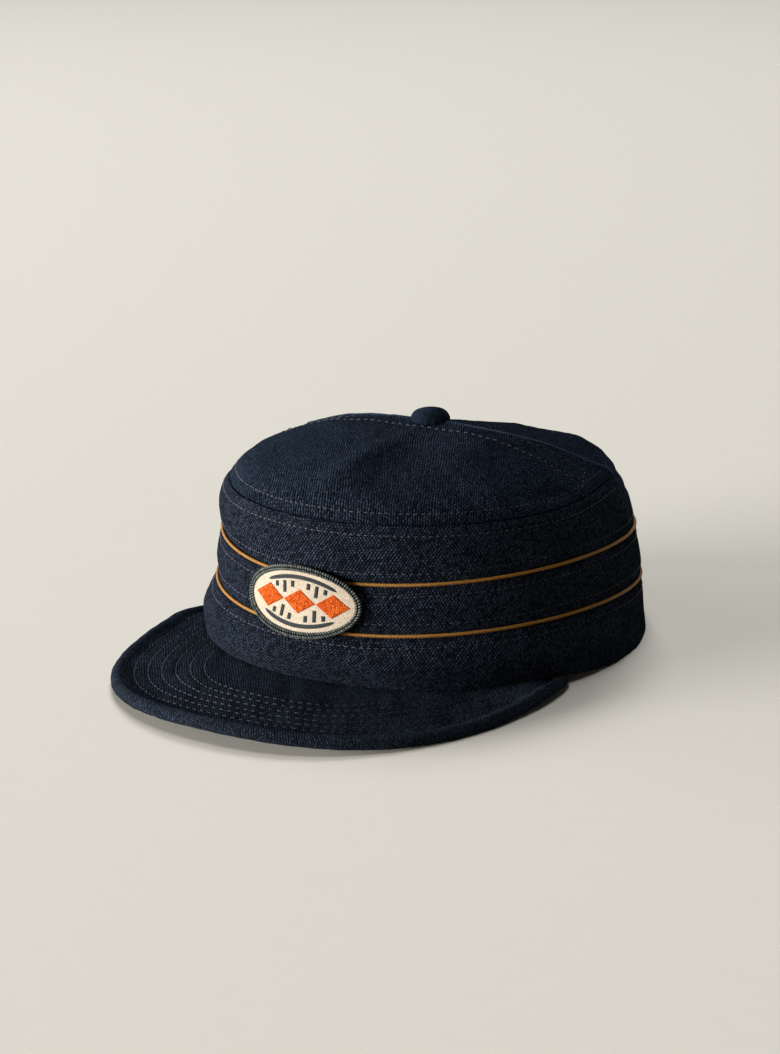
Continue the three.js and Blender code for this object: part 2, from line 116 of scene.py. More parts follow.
# Visor
VISOR_HALF_WIDTH, VISOR_REACH, VISOR_ROOT_Y, VISOR_ROUNDNESS = 89.2, 113.0, -51.4, 2.26
VISOR_FRONT_Z, VISOR_SLOPE, VISOR_ARCH, VISOR_THICKNESS = 6.8, 0.085, -11.7, 3.0
VISOR_ROOT_ANGLE, VISOR_TIP_SHARE = 62.5, 0.962
BINDING_END_Y, BINDING_HALF_WIDTH, BINDING_HALF_HEIGHT = -37.0, 3.2, 2.5
BINDING_END_SIZE, BINDING_END_LENGTH, BINDING_END_DROP = 0.3, 24.0, 3.6
VISOR_ROWS = [6.3, 11.9, 17.5, 23.2, 29.0, 34.8]

# Badge
BADGE_ANGLE, BADGE_LEVEL = -1.0, 3.06
BADGE_HALF_WIDTH, BADGE_HALF_HEIGHT, BADGE_BORDER = 27.2, 14.5, 2.7
BADGE_STAND_OFF, BADGE_THICKNESS, BADGE_BEND_UP, BADGE_BEND_DOWN = 2.2, 1.2, 0.9, 1.7
BORDER_HALF_THICKNESS = 0.85


# ---------------------------------------------------------------- shapes in mm

def bell(x):
    """Rounded hump: e to the power of minus x squared."""
    return np.exp(-np.square(x))


def smooth(low, high, x):
    """Smooth step from 0 at low to 1 at high: 3 t^2 - 2 t^3."""
    t = np.clip((x - low) / (high - low), 0, 1)
    return t * t * (3 - 2 * t)


def wrap(angle):
    """The same direction as an angle from -180 up to 180 degrees."""
    return (np.asarray(angle, float) + 180) % 360 - 180


def unit(vectors):
    """Vectors of length one."""
    return vectors / np.linalg.norm(vectors, axis=-1, keepdims=True)


def round_turn(count, start=0.0):
    """Evenly spaced angles once round, in radians; start is in steps."""
    return (np.arange(count) + start) / count * TAU


def lengths(line):
    """Distance along a line of points up to each of them."""
    return np.concatenate([[0], np.cumsum(np.linalg.norm(np.diff(line, axis=0), axis=-1))])


def read_line(at, along, line):
    """Points of a line at distances along it."""
    return np.stack([np.interp(at, along, line[:, k]) for k in range(3)], -1)


def place(points):
    """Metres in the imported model's frame from mm round the crown's axis: y grows by the axis shift."""
    return (np.asarray(points) + [0, AXIS_Y, 0]) / 1000


def ring(index, angle):
    """Radius and height of a ring. Front, side and back values blend as
    side + s + (front - back) / 2 * cos(angle) + s * cos(2 * angle), s = ((front + back) / 2 - side) / 2.
    The groove rises in a bell at the side seams, and the hem over the ends of the visor."""
    index, angle = np.broadcast_arrays(np.asarray(index, int), wrap(angle))
    row, a = RINGS[index], np.radians(angle)

    def mix(k):
        front, side, back = row[..., k], row[..., k + 1], row[..., k + 2]
        second = ((front + back) / 2 - side) / 2
        return side + second + (front - back) / 2 * np.cos(a) + second * np.cos(2 * a)

    z = mix(3)
    side_lift = SIDE_LIFT * bell((np.abs(angle) - 90 - SIDE_TURN) / SIDE_LIFT_REACH)
    tip_lift = TIP_LIFT * bell((np.abs(angle) - TIP_ANGLE) / TIP_REACH)
    z = z + np.where(index == GROOVE, side_lift, 0) + np.where(index == HEM, tip_lift, 0)
    return np.stack([mix(0), z], -1)


def profile(level, angle):
    """Radius and height of the crown's smooth outline: a Catmull-Rom curve through the rings."""
    level, angle = np.broadcast_arrays(np.asarray(level, float), np.asarray(angle, float))
    i = np.clip(np.floor(level), 0, TOP - 1).astype(int)
    f = (level - i)[..., None]
    b, c = ring(i, angle), ring(i + 1, angle)
    a = np.where((i == 0)[..., None], 2 * b - c, ring(np.maximum(i - 1, 0), angle))
    d = np.where((i == TOP - 1)[..., None], b * [-1, 1], ring(np.minimum(i + 2, TOP), angle))
    return b + 0.5 * f * (c - a + f * (2 * a - 5 * b + 4 * c - d + f * (3 * (b - c) + d - a)))


def slope(level, angle):
    """Unit direction of the outline up the cloth, and its length in mm for one level."""
    step = 0.01
    way = profile(np.minimum(level + step, TOP), angle) - profile(np.maximum(level - step, HEM), angle)
    length = np.linalg.norm(way, axis=-1)
    return way / length[..., None], length / (2 * step)


def side_seam(level):
    """Angle of the side seam: 90 + turn * share ^ bend, with share 0 at the button and 1 at the groove."""
    return 90 + SIDE_TURN * np.clip((TOP - level) / 3, 0, 1) ** SIDE_BEND


def spin(radius, angle, height):
    """Points at a radius, an angle and a height: (r sin a, -r cos a, z)."""
    a, height = np.radians(angle), np.broadcast_to(height, np.shape(radius))
    return np.stack([radius * np.sin(a), -radius * np.cos(a), height], -1)


def crown_at(level, angle, out):
    """Point that stands out mm off the smooth outline, along its normal, never under the floor."""
    level, angle, out = np.broadcast_arrays(np.asarray(level, float), np.asarray(angle, float), out)
    way, _ = slope(level, angle)
    p = profile(level, angle)
    return spin(p[..., 0] + out * way[..., 1], angle, np.maximum(p[..., 1] - out * way[..., 0], 0))


def level_above(seam, distance, angle):
    """Level a distance up the cloth from a seam: a guess, scaled four times by the distance over the length
    of the outline between the two."""
    seam = np.asarray(seam, float)
    level = seam + distance / 12 + 0 * angle
    for _ in range(4):
        steps = seam + (level - seam) * np.linspace(0, 1, 9)[:, None]
        length = np.linalg.norm(np.diff(profile(steps, angle), axis=0), axis=-1).sum(0)
        level = seam + (level - seam) * abs(distance) / length
    return level


def level_of_radius(radius, angle):
    """Level on the top where the outline has a radius, found by halving the span thirty times."""
    low, high = np.full(np.shape(angle), float(GROOVE)), np.full(np.shape(angle), float(TOP))
    for _ in range(30):
        middle = (low + high) / 2
        outside = profile(middle, angle)[..., 0] > radius
        low, high = np.where(outside, middle, low), np.where(outside, high, middle)
    return (low + high) / 2


def ripple(points, seed, size, short=14.0, long=45.0, waves=14):
    """Unevenness of the cloth: a mean of cosines of the place in space, with random headings, lengths and
    phases; size is about its usual height in mm."""
    rng = np.random.default_rng(seed)
    total = 0
    for _ in range(waves):
        heading = rng.normal(size=3)
        turns = points @ unit(heading) / rng.uniform(short, long)
        total = total + np.cos(TAU * (turns + rng.uniform()))
    return size * total / math.sqrt(waves / 2)


def relief(level, angle):
    """Hollows and swells: each is its lift times a bell of the distance in half angles and half levels."""
    return sum(lift * bell(np.hypot(wrap(angle - at) / half_angle, (level - near) / half_level))
               for at, near, half_angle, half_level, lift in RELIEF)


def crease(level, angle):
    """Small folds at the seams, as bells and cosines: a soft ridge down the middle of the top's front, short
    puckers across its start, swells before the cross rows, irregular level folds in the back panel, and a
    hollow before the wearer's left ear."""
    a = wrap(angle)
    p = profile(level, a)
    x, y = p[..., 0] * np.sin(np.radians(a)), -p[..., 0] * np.cos(np.radians(a))
    front = smooth(-38, -50, y) * (1 - smooth(-78, -89, y))
    ridge = front * (0.55 * bell(x / 5.0) + 0.5 * bell(x / 12.0))
    pucker = 0
    for at_x, at_y, lean, size in PUCKERS:
        along = (x - at_x) * math.cos(lean) + (y - at_y) * math.sin(lean)
        across = (y - at_y) * math.cos(lean) - (x - at_x) * math.sin(lean)
        pucker = pucker + size * bell(along / 5.0) * (bell(across / 1.5) - 0.8 * bell((across + 2.6) / 1.6))
    pull = sum(size * bell((x - at_x) / 3.2) for at_x, size in PULLS) * bell((y + 17) / 6.5)
    back = smooth(104, 120, np.abs(a)) * smooth(4.4, 5.2, level) * (1 - smooth(7.6, 8.4, level))
    slack = np.cos(TAU * level / 0.55 + 2.2 * np.sin(np.radians(5 * a)))
    slack = slack + 0.8 * np.cos(TAU * level / 0.83 + 0.11 * a)
    hollow = -0.7 * bell((a - 63) / 8) * bell((level - 6.62) / 0.26)
    return ridge + pucker + pull + 0.14 * back * slack + hollow


def cross_row_y(x, row):
    """Distance behind the axis of a row that crosses the top: its start plus its spread times |x|."""
    return row[0] + row[1] * np.abs(x)


def outside(level, angle, edges, from_seam=None, proud=0.0):
    """How far the cloth stands off the smooth outline, in mm: relief, folds and ripples, less the tuck at
    the cords and the groove and a shallow channel along each stitch row. Beside the side seam it stands
    proud or low, and at every edge but the hem and the button's hole it turns in with a quarter round.
    A grid row reads its stitch rows at its first angle; from_seam is in degrees."""
    _, per_level = slope(level, angle)
    a, p = wrap(angle), profile(level, angle)
    points = spin(p[..., 0], a, p[..., 1])
    out = relief(level, a) + crease(level, a)
    out = out + ripple(points, 5, 0.17) + ripple(points, 11, 0.06, 5.0, 12.0)
    for seam in (LOWER_CORD, UPPER_CORD):
        out = out - CORD_TUCK * bell((p[..., 1] - ring(seam, a)[..., 1]) / CORD_TUCK_REACH)
    front = (np.abs(a) <= side_seam(level)) & (level > GROOVE - 1)
    tuck = bell((p[..., 1] - ring(GROOVE, a)[..., 1]) / GROOVE_TUCK_REACH)
    out = out - np.where(front, (GROOVE_TUCK - 0.2 * bell(a / 28)) * tuck, 0)
    for seam, distance, half, _ in ROUND_ROWS:
        away = (level - level_above(seam, distance, a[..., 0])[..., None]) * per_level
        out = out - np.where(np.abs(a) <= half, CHANNEL * bell(away / CHANNEL_REACH), 0)
    x, y = points[..., 0], points[..., 1]
    for row in CROSS_ROWS:
        on = (np.abs(x) > row[2]) & (np.abs(x) < row[3]) & (level > 6.25)
        out = out - np.where(on, 0.2 * bell((y - cross_row_y(x, row)) / 1.3), 0)
    turn_in = np.full(np.shape(level), 9.0)
    for edge in edges:
        if edge not in (HEM, HOLE):
            soft = 1.7 if abs(edge - GROOVE) < 0.1 else 1.0
            turn_in = np.minimum(turn_in, np.abs(level - edge) * per_level * soft)
    if from_seam is not None:
        beside = np.abs(from_seam) * np.radians(1) * p[..., 0]
        out = out + proud * (0.5 * bell(beside / 5.0) + 0.6 * bell((beside - 0.9) / 1.1))
        turn_in = np.minimum(turn_in, beside)
    share = 1 - np.clip(turn_in / TURN_IN, 0, 1)
    return out - TURN_IN * 0.8 * (1 - np.sqrt(1 - share ** 2))


# ---------------------------------------------------------------- meshes

def grid_faces(rows, columns, closed_rows, closed_columns):
    """Quads of a grid of vertices, row by row; a closed direction joins its last line to its first."""
    i = np.arange(rows if closed_rows else rows - 1)[:, None]
    j = np.arange(columns if closed_columns else columns - 1)[None, :]
    k, l = (i + 1) % rows, (j + 1) % columns
    quads = np.stack([i * columns + j, i * columns + l, k * columns + l, k * columns + j], -1)
    return quads.reshape(-1, 4)


def fan(loop, hub, flip=False):
    """Triangles from each edge of a closed loop of vertices to a hub, as quads that repeat the hub."""
    after, hubs = np.roll(loop, -1), np.full(len(loop), hub)
    return np.stack([loop, after, hubs, hubs] if flip else [after, loop, hubs, hubs], -1)


def capped_faces(rows, width):
    """Quads of a grid that closes round, with a fan from each rim to a hub; the hubs come last."""
    rim, size = np.arange(rows) * width, rows * width
    return np.concatenate([grid_faces(rows, width, True, False), fan(rim, size),
                           fan(rim + width - 1, size + 1, True)])


def with_hubs(grid, hubs):
    """Grid values as one list, followed by those of the hubs."""
    return np.concatenate([grid.reshape(-1, grid.shape[-1]), hubs])


def end_strips(rows, width):
    """Quads that close both ends of an open tube, whose rows run over a front and come back over a rear."""
    k = np.arange(width // 2 - 1)
    first = np.stack([k, width - 1 - k, width - 2 - k, k + 1], -1)
    last = np.stack([k, k + 1, width - 2 - k, width - 1 - k], -1) + (rows - 1) * width
    return np.concatenate([first, last])


def repeated(quads, count, size):
    """Quads of one shape repeated for a count of shapes with so many vertices each."""
    return (quads[None] + (np.arange(count) * size)[:, None, None]).reshape(-1, 4)


def there_and_back(front, back):
    """Grid rows that run over a front and come back over a rear."""
    return np.concatenate([front, back[:, ::-1]], axis=1)


def outward(points, quads):
    """The quads, turned round as a whole when the volume they enclose comes out negative."""
    a, b, c, d = (points[quads[:, k]] for k in range(4))
    volume = (np.cross(a, b) * c).sum() + (np.cross(a, c) * d).sum()
    return quads[:, ::-1] if volume < 0 else quads


def mesh_piece(name, points, quads, uv=None, values=None):
    """Object from points in mm and quads; a quad that repeats its last vertex is a triangle. uv holds named
    maps with two numbers for each vertex, values named attributes with one."""
    points = points.reshape(-1, 3)
    quads = outward(points, quads)
    mesh = bpy.data.meshes.new(name)
    corners = np.where(quads[:, 2] == quads[:, 3], 3, 4)
    keep = np.ones(quads.shape, bool)
    keep[:, 3] = corners == 4
    loops = quads[keep]
    mesh.vertices.add(len(points))
    mesh.vertices.foreach_set("co", place(points).astype(np.float32).ravel())
    mesh.loops.add(len(loops))
    mesh.loops.foreach_set("vertex_index", loops.astype(np.int32))
    mesh.polygons.add(len(quads))
    mesh.polygons.foreach_set("loop_start", np.concatenate([[0], np.cumsum(corners)[:-1]]).astype(np.int32))
    mesh.polygons.foreach_set("use_smooth", np.full(len(quads), True))
    for label, pair in (uv or {}).items():
        layer = mesh.uv_layers.new(name=label)
        layer.data.foreach_set("uv", pair.reshape(-1, 2)[loops].astype(np.float32).ravel())
    for label, value in (values or {}).items():
        layer = mesh.attributes.new(label, "FLOAT", "POINT")
        layer.data.foreach_set("value", value.astype(np.float32).ravel())
    mesh.update(calc_edges=True)
    mesh.validate()
    piece = bpy.data.objects.new(name, mesh)
    bpy.context.scene.collection.objects.link(piece)
    return piece


def dress(piece, material, slot, *nodes):
    """Gives a piece its material, lets it ride on the cap's one body and stand for its nodes; slot is not
    used.
    """
    piece.data.materials.append(material)
    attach(piece, "root")
    if nodes:
        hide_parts(*nodes)


def wall(name, outer, inner, uv, values, closed):
    """Cloth with two faces: each row runs over the outer face and comes back over the inner one, and an open
    panel gets a strip of quads at each end."""
    points = there_and_back(outer, inner)
    rows, width = points.shape[:2]
    quads = grid_faces(rows, width, closed, True)
    if not closed:
        quads = np.concatenate([quads, end_strips(rows, width)])
    uv, values = ({label: there_and_back(v, v) for label, v in maps.items()} for maps in (uv, values))
    return mesh_piece(name, points, quads, uv, values)


def crown_cloth(name, level, angle, edges, thick, closed, from_seam=None, proud=0.0, **values):
    """Cloth over a grid of levels and angles: the outer face from outside(), a plain inner face, and maps in
    mm. The wall map unrolls the crown: angle times a mean radius, and the distance up from the hem. The top
    map is the direction from the button times the distance from it. The share of the top map goes up from 0
    at the groove in front and over the shoulder behind."""
    outer = crown_at(level, angle, outside(level, angle, edges, from_seam, proud))
    inner = crown_at(level, angle, relief(level, angle) - thick)
    steps = np.linspace(HEM, TOP, 181)
    up = lengths(profile(steps, 90.0))
    height = np.interp(level, steps, up)
    from_button, a = up[-1] - height, np.radians(angle)
    uv = {"wall": np.stack([a * MEAN_RADIUS, height], -1),
          "top": np.stack([from_button * np.sin(a), -from_button * np.cos(a)], -1)}
    behind = np.abs(wrap(angle)) > side_seam(level)
    share = smooth(6.0, 6.02, level) * np.where(behind, smooth(6.3, 7.1, level), 1)
    return wall(name, outer, inner, uv, {"top_share": share, **values}, closed)


def levels_between(low, high, count):
    """Levels from low to high, drawn together at both ends: 0.45 of an even and 0.55 of a cosine spacing."""
    t = np.linspace(0, 1, count)
    return low + (high - low) * (0.45 * t + 0.55 * (0.5 - 0.5 * np.cos(np.pi * t)))


def band(name, low, high, count, columns=720):
    """Band all the way round between two levels."""
    angles = np.linspace(-180, 180, columns, endpoint=False)
    angle, level = np.meshgrid(angles, levels_between(low, high, count), indexing="ij")
    return crown_cloth(name, level, angle, (low, high), WALL_BAND, True)


def panel(name, low, high, count, columns, back):
    """Panel from side seam to side seam, over the front or the back: the share from -1 to 1 along a row
    times the seam's angle at that level, less half the gap. Beside the seam the front stands proud and the
    back lies low, less so below the groove. The top front's folded edges beside the side seams carry a
    painted highlight, which fades out at the button's hole."""
    levels = levels_between(low, high, count)
    share, level = np.meshgrid(levels_between(-1, 1, columns), levels, indexing="ij")
    seam = side_seam(level)
    radius = np.maximum(profile(level, seam)[..., 0], 1)
    half = ((180 - seam) if back else seam) - np.degrees(SEAM_GAP / 2 / radius)
    angle = (180 if back else 0) + share * half
    from_edge = (1 - np.abs(share)) * half
    proud = (-1.0 if back else 1.2) * (0.3 + 0.7 * smooth(5.7, 6.3, level))
    # Painted highlight along the top front's folded edge beside the side seam, fading out at the button's hole
    wear = bell((np.radians(from_edge) * radius - 0.6) / 0.9) * smooth(HOLE, 8.5, level)
    return crown_cloth(name, level, angle, (low, high), WALL_TOP, False, from_edge, proud,
                       wear=wear * (high == HOLE and not back))


def beads(name, path, normal, width, height, tint):
    """Short pieces of thread, each with its tint. Each follows five points, and the ring at the place u has
    (1 - u^4)^0.5 of the full width and height."""
    size = np.sqrt(1 - BEAD_PLACES ** 4)[:, None, None]
    v = round_turn(6)
    way = path[:, -1:] - path[:, :1]
    side = unit(np.cross(normal, np.broadcast_to(way, normal.shape)))
    points = path[:, :, None] + size * (side[:, :, None] * (width * np.cos(v))[:, None]
                                        + normal[:, :, None] * (height * np.sin(v))[:, None])
    ends = np.array([[0, 5, 4, 3], [0, 3, 2, 1], [24, 25, 26, 27], [24, 27, 28, 29]])
    one = np.concatenate([grid_faces(len(BEAD_PLACES), len(v), False, True), ends])
    size = len(BEAD_PLACES) * len(v)
    quads = repeated(one, len(path), size)
    return mesh_piece(name, points, quads, None, {"tint": np.repeat(tint, size)})


def stitches(name, lines, width, height, stand, seed):
    """Running stitches along lines of points and normals, each with its pitch and how tight it is drawn. A
    stitch arches by 1 - 1.9 u^4 times the stand over the cloth, so it dips into it at both ends, and its
    place, length and heading vary. Tight rows take a darker tint toward the wearer's left, a painted shade
    for the side away from the light that leaves the back out, and loose rows are dimmed evenly."""
    rng = np.random.default_rng(seed)
    u = BEAD_PLACES
    paths, normals, tints = [], [], []
    for path, normal, pitch, tight in lines:
        along = lengths(path)
        count = max(1, int(along[-1] / pitch))
        middle = (np.arange(count) + 0.5) * along[-1] / count + rng.normal(0, 0.08, count)
        half = pitch * STITCH_SHARE / 2 * (1 + rng.normal(0, 0.08, count))
        at = middle[:, None] + half[:, None] * u
        p, n = read_line(at, along, path), unit(read_line(at, along, normal))
        side = unit(np.cross(n, np.broadcast_to(p[:, -1:] - p[:, :1], n.shape)))
        skew = rng.normal(0, 0.08, (count, 1, 1)) * half[:, None, None] * u[:, None]
        paths.append(p + side * skew + n * (stand * (1 - 1.9 * u ** 4))[:, None])
        normals.append(n)
        # Painted shade: tight rows darken toward the wearer's left, away from the light, except at the back;
        # the share also dims loose rows evenly
        painted_shade = tight * smooth(12, 62, p[:, 2, 0]) * smooth(60, 20, p[:, 2, 1])
        painted_light_share = np.clip(painted_shade + max(0.7 - tight, 0), 0, 1)
        tints.append(rng.uniform(0.35, 1, count) * (1 - painted_light_share))
    return beads(name, np.concatenate(paths), np.concatenate(normals), width, height, np.concatenate(tints))


def round_lines():
    """Stitch rows of the crown: points on the cloth, normals, the pitch, and how tight the row is drawn."""
    lines = []
    for seam, distance, half, pitch in ROUND_ROWS:
        angle = np.linspace(-half, half, 1400)
        lines.append((*row_line(level_above(seam, distance, angle), angle), pitch, 1.0))
    plans = []
    for row in CROSS_ROWS:
        x = np.linspace(row[2], row[3], 500)
        plans.append((x, cross_row_y(x, row)))
    plans.append([np.linspace(start, end, 60) for start, end in zip(*CROSS_END)])
    for side in (-1, 1):
        for x, y in plans:
            angle = np.degrees(np.arctan2(side * x, -y))
            level = level_of_radius(np.hypot(x, y), angle)
            keep = (level > 6.2) & (np.hypot(x, y) > 9.3)
            lines.append((*row_line(level[keep], angle[keep], 0.12), CROSS_PITCH, 0.0))
    return lines


def row_line(level, angle, lift=0.0):
    """Points of the cloth along a row, lifted a little, and the outline's normals there."""
    base = outside(level[:, None], angle[:, None], ())[:, 0] + lift
    way, _ = slope(level, angle)
    return crown_at(level, angle, base), spin(way[..., 1], angle, -way[..., 0])


def cord(name, level, steps=900, sides=12):
    """Piping cord: a circle carried round a seam of the crown, its radius varied by two small cosines of
    the length."""
    angle = np.linspace(-180, 180, steps, endpoint=False)
    p = ring(level, angle)
    turn = round_turn(sides)
    along = np.radians(angle) * MEAN_RADIUS
    radius = CORD_RADIUS + 0.03 * np.cos(TAU * along / 3.1) + 0.015 * np.cos(TAU * along / 1.9)
    out = p[:, :1] - 0.15 + radius[:, None] * np.cos(turn)
    height = p[:, 1:] + radius[:, None] * np.sin(turn)
    points = spin(out, np.broadcast_to(angle[:, None], out.shape), height)
    uv = np.stack(np.broadcast_arrays(along[:, None], turn * 0.95), -1)
    return mesh_piece(name, points, grid_faces(steps, sides, True, True), {"wall": uv})


def button(name, steps=96):
    """Cloth button: a dome with radius R cos(t)^0.75 and height H (0.12 + 0.88 sin(t)^0.9), its covering
    gathered into small pleats at the rim, on a short shank."""
    base = RINGS[9, 3] + SEAM_GAP
    t = np.radians(np.linspace(0, 90, 22))[:-1]
    rim, dome = BUTTON_RADIUS * np.cos(t) ** 0.75, BUTTON_HEIGHT * (0.12 + 0.88 * np.sin(t) ** 0.9)
    radius = np.concatenate([[SHANK_RADIUS, SHANK_RADIUS, 6.8, 7.7, 8.1], rim, [0.12]])
    height = np.concatenate([[-SHANK_DEPTH, -0.1, -0.3, -0.2, 0.1], dome, [BUTTON_HEIGHT]])
    a = round_turn(steps)[:, None]
    low = (1 - smooth(0.6, 2.8, height)) * smooth(3, 6.5, radius)
    pleat = 1 + 0.022 * low * np.cos(15 * a + 1.3 * np.sin(2 * a))
    r = radius * pleat * (1 + 0.012 * np.cos(2 * a + 0.6) + 0.01 * np.cos(3 * a))
    z = base + height + 0.12 * smooth(2, 6, radius) * np.cos(2 * a + 1)
    points = np.stack([r * np.sin(a), -r * np.cos(a), z], -1)
    arc = np.concatenate([np.cumsum(np.hypot(np.diff(radius[::-1]), np.diff(height[::-1])))[::-1], [0]])
    uv = np.stack([arc * np.sin(a), -arc * np.cos(a)], -1)
    hubs = [[0, 0, base - SHANK_DEPTH], [0, 0, base + BUTTON_HEIGHT + 0.02]]
    uv = with_hubs(uv, [[0, 14], [0, 0]])
    return mesh_piece(name, with_hubs(points, hubs), capped_faces(steps, points.shape[1]), {"wall": uv})


# ---------------------------------------------------------------- visor

def rim_height(x, y):
    """Height of the rim line: rising with the distance from the front, sinking with the square of |x|."""
    width = np.clip(np.abs(x) / VISOR_HALF_WIDTH, 0, 1)
    return VISOR_FRONT_Z + VISOR_SLOPE * (y - VISOR_ROOT_Y + VISOR_REACH) + VISOR_ARCH * width ** 2


def rim_line():
    """Rim of the visor from the wearer's right to the left: W sign(t) |sin t|^(2/n) across and
    root - reach cos(t)^(2/n) along, with a short bowed tail at each end. Gives the points and their
    distance along the line."""
    power = 2 / VISOR_ROUNDNESS
    y = VISOR_ROOT_Y + (BINDING_END_Y - VISOR_ROOT_Y) * np.linspace(1, 0, 13)
    x = -VISOR_HALF_WIDTH + 0.0088 * (y - VISOR_ROOT_Y) ** 2
    t = np.radians(np.arange(-239, 240) * 90 / 240)
    bow_x = VISOR_HALF_WIDTH * np.sign(t) * np.abs(np.sin(t)) ** power
    bow_y = VISOR_ROOT_Y - VISOR_REACH * np.cos(t) ** power
    x, y = np.concatenate([x, bow_x, -x[::-1]]), np.concatenate([y, bow_y, y[::-1]])
    line = np.stack([x, y, rim_height(x, y)], -1)
    return line, lengths(line)


RIM, ALONG_RIM = rim_line()


def rim_at(distance):
    """Point of the rim line at a distance along it, and the level unit vector from it toward the crown."""
    after = read_line(np.minimum(distance + 0.6, ALONG_RIM[-1]), ALONG_RIM, RIM)
    way = after - read_line(np.maximum(distance - 0.6, 0), ALONG_RIM, RIM)
    inward = np.stack([-way[..., 1], way[..., 0], 0 * way[..., 0]], -1)
    return read_line(distance, ALONG_RIM, RIM), unit(inward)


def binding_taper(distance):
    """Share of its full size and drop of the binding at a distance along the rim: over its last stretch the
    size falls with the power 0.6 of the share left, and the drop grows with the power 1.5."""
    share = np.clip(np.minimum(distance, ALONG_RIM[-1] - distance) / BINDING_END_LENGTH, 0, 1)
    return BINDING_END_SIZE + (1 - BINDING_END_SIZE) * share ** 0.6, BINDING_END_DROP * (1 - share) ** 1.5


def visor_top(share, across):
    """Smooth top of the board: a straight line from just under the hem, at an angle in proportion to the
    share, to a place inside the binding's roll. The outer end stays near the hem's height and sinks with
    the binding."""
    angle = share * VISOR_ROOT_ANGLE
    hem = ring(HEM, angle)
    start = spin(hem[..., 0] - WALL_BAND, angle, hem[..., 1] - SEAM_GAP - 0.05)
    distance = (0.5 + 0.5 * share * VISOR_TIP_SHARE) * ALONG_RIM[-1]
    end, inward = rim_at(distance)
    size, drop = binding_taper(distance)
    end = end + inward * (size * BINDING_HALF_WIDTH - 0.7)[..., None]
    far = np.linalg.norm(start - end, axis=-1)
    end[..., 2] = np.minimum(end[..., 2] + VISOR_THICKNESS / 2, start[..., 2] + 0.06 * far) - 1.15 * drop
    return start + (end - start) * across[..., None]


def rim_distance(points):
    """Level distance of each point from the rim line: the smallest over the line's points."""
    flat = points.reshape(-1, 3)[:, :2]
    near = np.full(len(flat), 1e9)
    for part in np.array_split(RIM[:, :2], 24):
        near = np.minimum(near, np.linalg.norm(flat[:, None] - part[None], axis=-1).min(1))
    return near.reshape(points.shape[:-1])


def visor(name, columns=420, rows=84):
    """Visor board 3 mm thick. Its top sinks in a channel along each stitch row and swells a little over the
    whole quilted part. Gives the piece, and the grid that the stitch rows are read from."""
    share, across = np.meshgrid(np.linspace(-1, 1, columns), np.linspace(0, 1, rows) ** 0.9, indexing="ij")
    top = visor_top(share, across)
    distance = rim_distance(top)
    sink = sum(0.17 * bell((distance - row) / 1.3) for row in VISOR_ROWS)
    quilted = smooth(3.5, 6.5, distance) * (1 - smooth(36, 40, distance))
    lift = 0.08 * quilted - sink + ripple(top, 21, 0.16, 16.0, 50.0) + ripple(top, 22, 0.05, 5.0, 11.0)
    top[..., 2] += np.where(across > 0.02, lift, 0) - 0.5 * smooth(0.985, 1.0, across)
    under = visor_top(share, across)
    under[..., 2] = np.maximum(under[..., 2] - VISOR_THICKNESS, 0.4)
    return wall(name, top, under, {"wall": top[..., :2]}, {}, False), distance, top


def visor_lines(distance, top):
    """Stitch rows of the visor: on each grid row of the board, the place where the distance from the rim has
    the row's value, straight between two neighbours."""
    lines, end = [], distance.shape[1] - 1
    for row in VISOR_ROWS:
        inside = distance >= row
        last = end - np.argmax(inside[:, ::-1], axis=1)
        k = np.flatnonzero(inside.any(1) & (last < end) & (last > 1))
        last = last[k]
        a, b = distance[k, last], distance[k, last + 1]
        f = np.clip((a - row) / np.maximum(a - b, 1e-6), 0, 1)[:, None]
        path = top[k, last] * (1 - f) + top[k, last + 1] * f
        tilt = -2 * VISOR_ARCH * path[:, 0] / VISOR_HALF_WIDTH ** 2
        lines.append((path, np.stack([tilt, 0 * tilt - VISOR_SLOPE, 0 * tilt + 1], -1), VISOR_PITCH, 1.0))
    return lines


def binding(name, steps=760, sides=18):
    """Rolled binding: an oval carried along the rim line, W sign(cos t) |cos t|^0.9 wide and
    H sign(sin t) |sin t|^0.9 tall. It narrows and sinks toward its ends, and it swells and tightens gently
    along its length."""
    s = np.linspace(0, ALONG_RIM[-1], steps)
    centre, inward = rim_at(s)
    size, drop = binding_taper(s)
    turn = round_turn(sides, 0.5)
    puff = 1 + 0.02 * np.cos(TAU * s / 23) + 0.018 * np.cos(TAU * s / 9.3 + 1)
    oval = lambda x: np.sign(x) * np.abs(x) ** 0.9
    wide = (size * puff * BINDING_HALF_WIDTH * 1.03)[:, None] * oval(np.cos(turn))
    tall = (size * puff * BINDING_HALF_HEIGHT * 1.05)[:, None] * oval(np.sin(turn))
    points = centre[:, None] + inward[:, None] * wide[..., None]
    points[..., 2] = np.maximum(points[..., 2] - drop[:, None] + tall, 0)
    uv = with_hubs(np.stack(np.broadcast_arrays(s[:, None], turn * 3.0), -1), [[0, 0], [s[-1], 0]])
    k, n = np.arange(sides), steps * sides
    ends = fan(k, n), fan(k + n - sides, n + 1, True)
    quads = np.concatenate([grid_faces(steps, sides, False, True), *ends])
    hubs = [points[0].mean(0), points[-1].mean(0)]
    return mesh_piece(name, with_hubs(points, hubs), quads, {"wall": uv})


# ---------------------------------------------------------------- badge

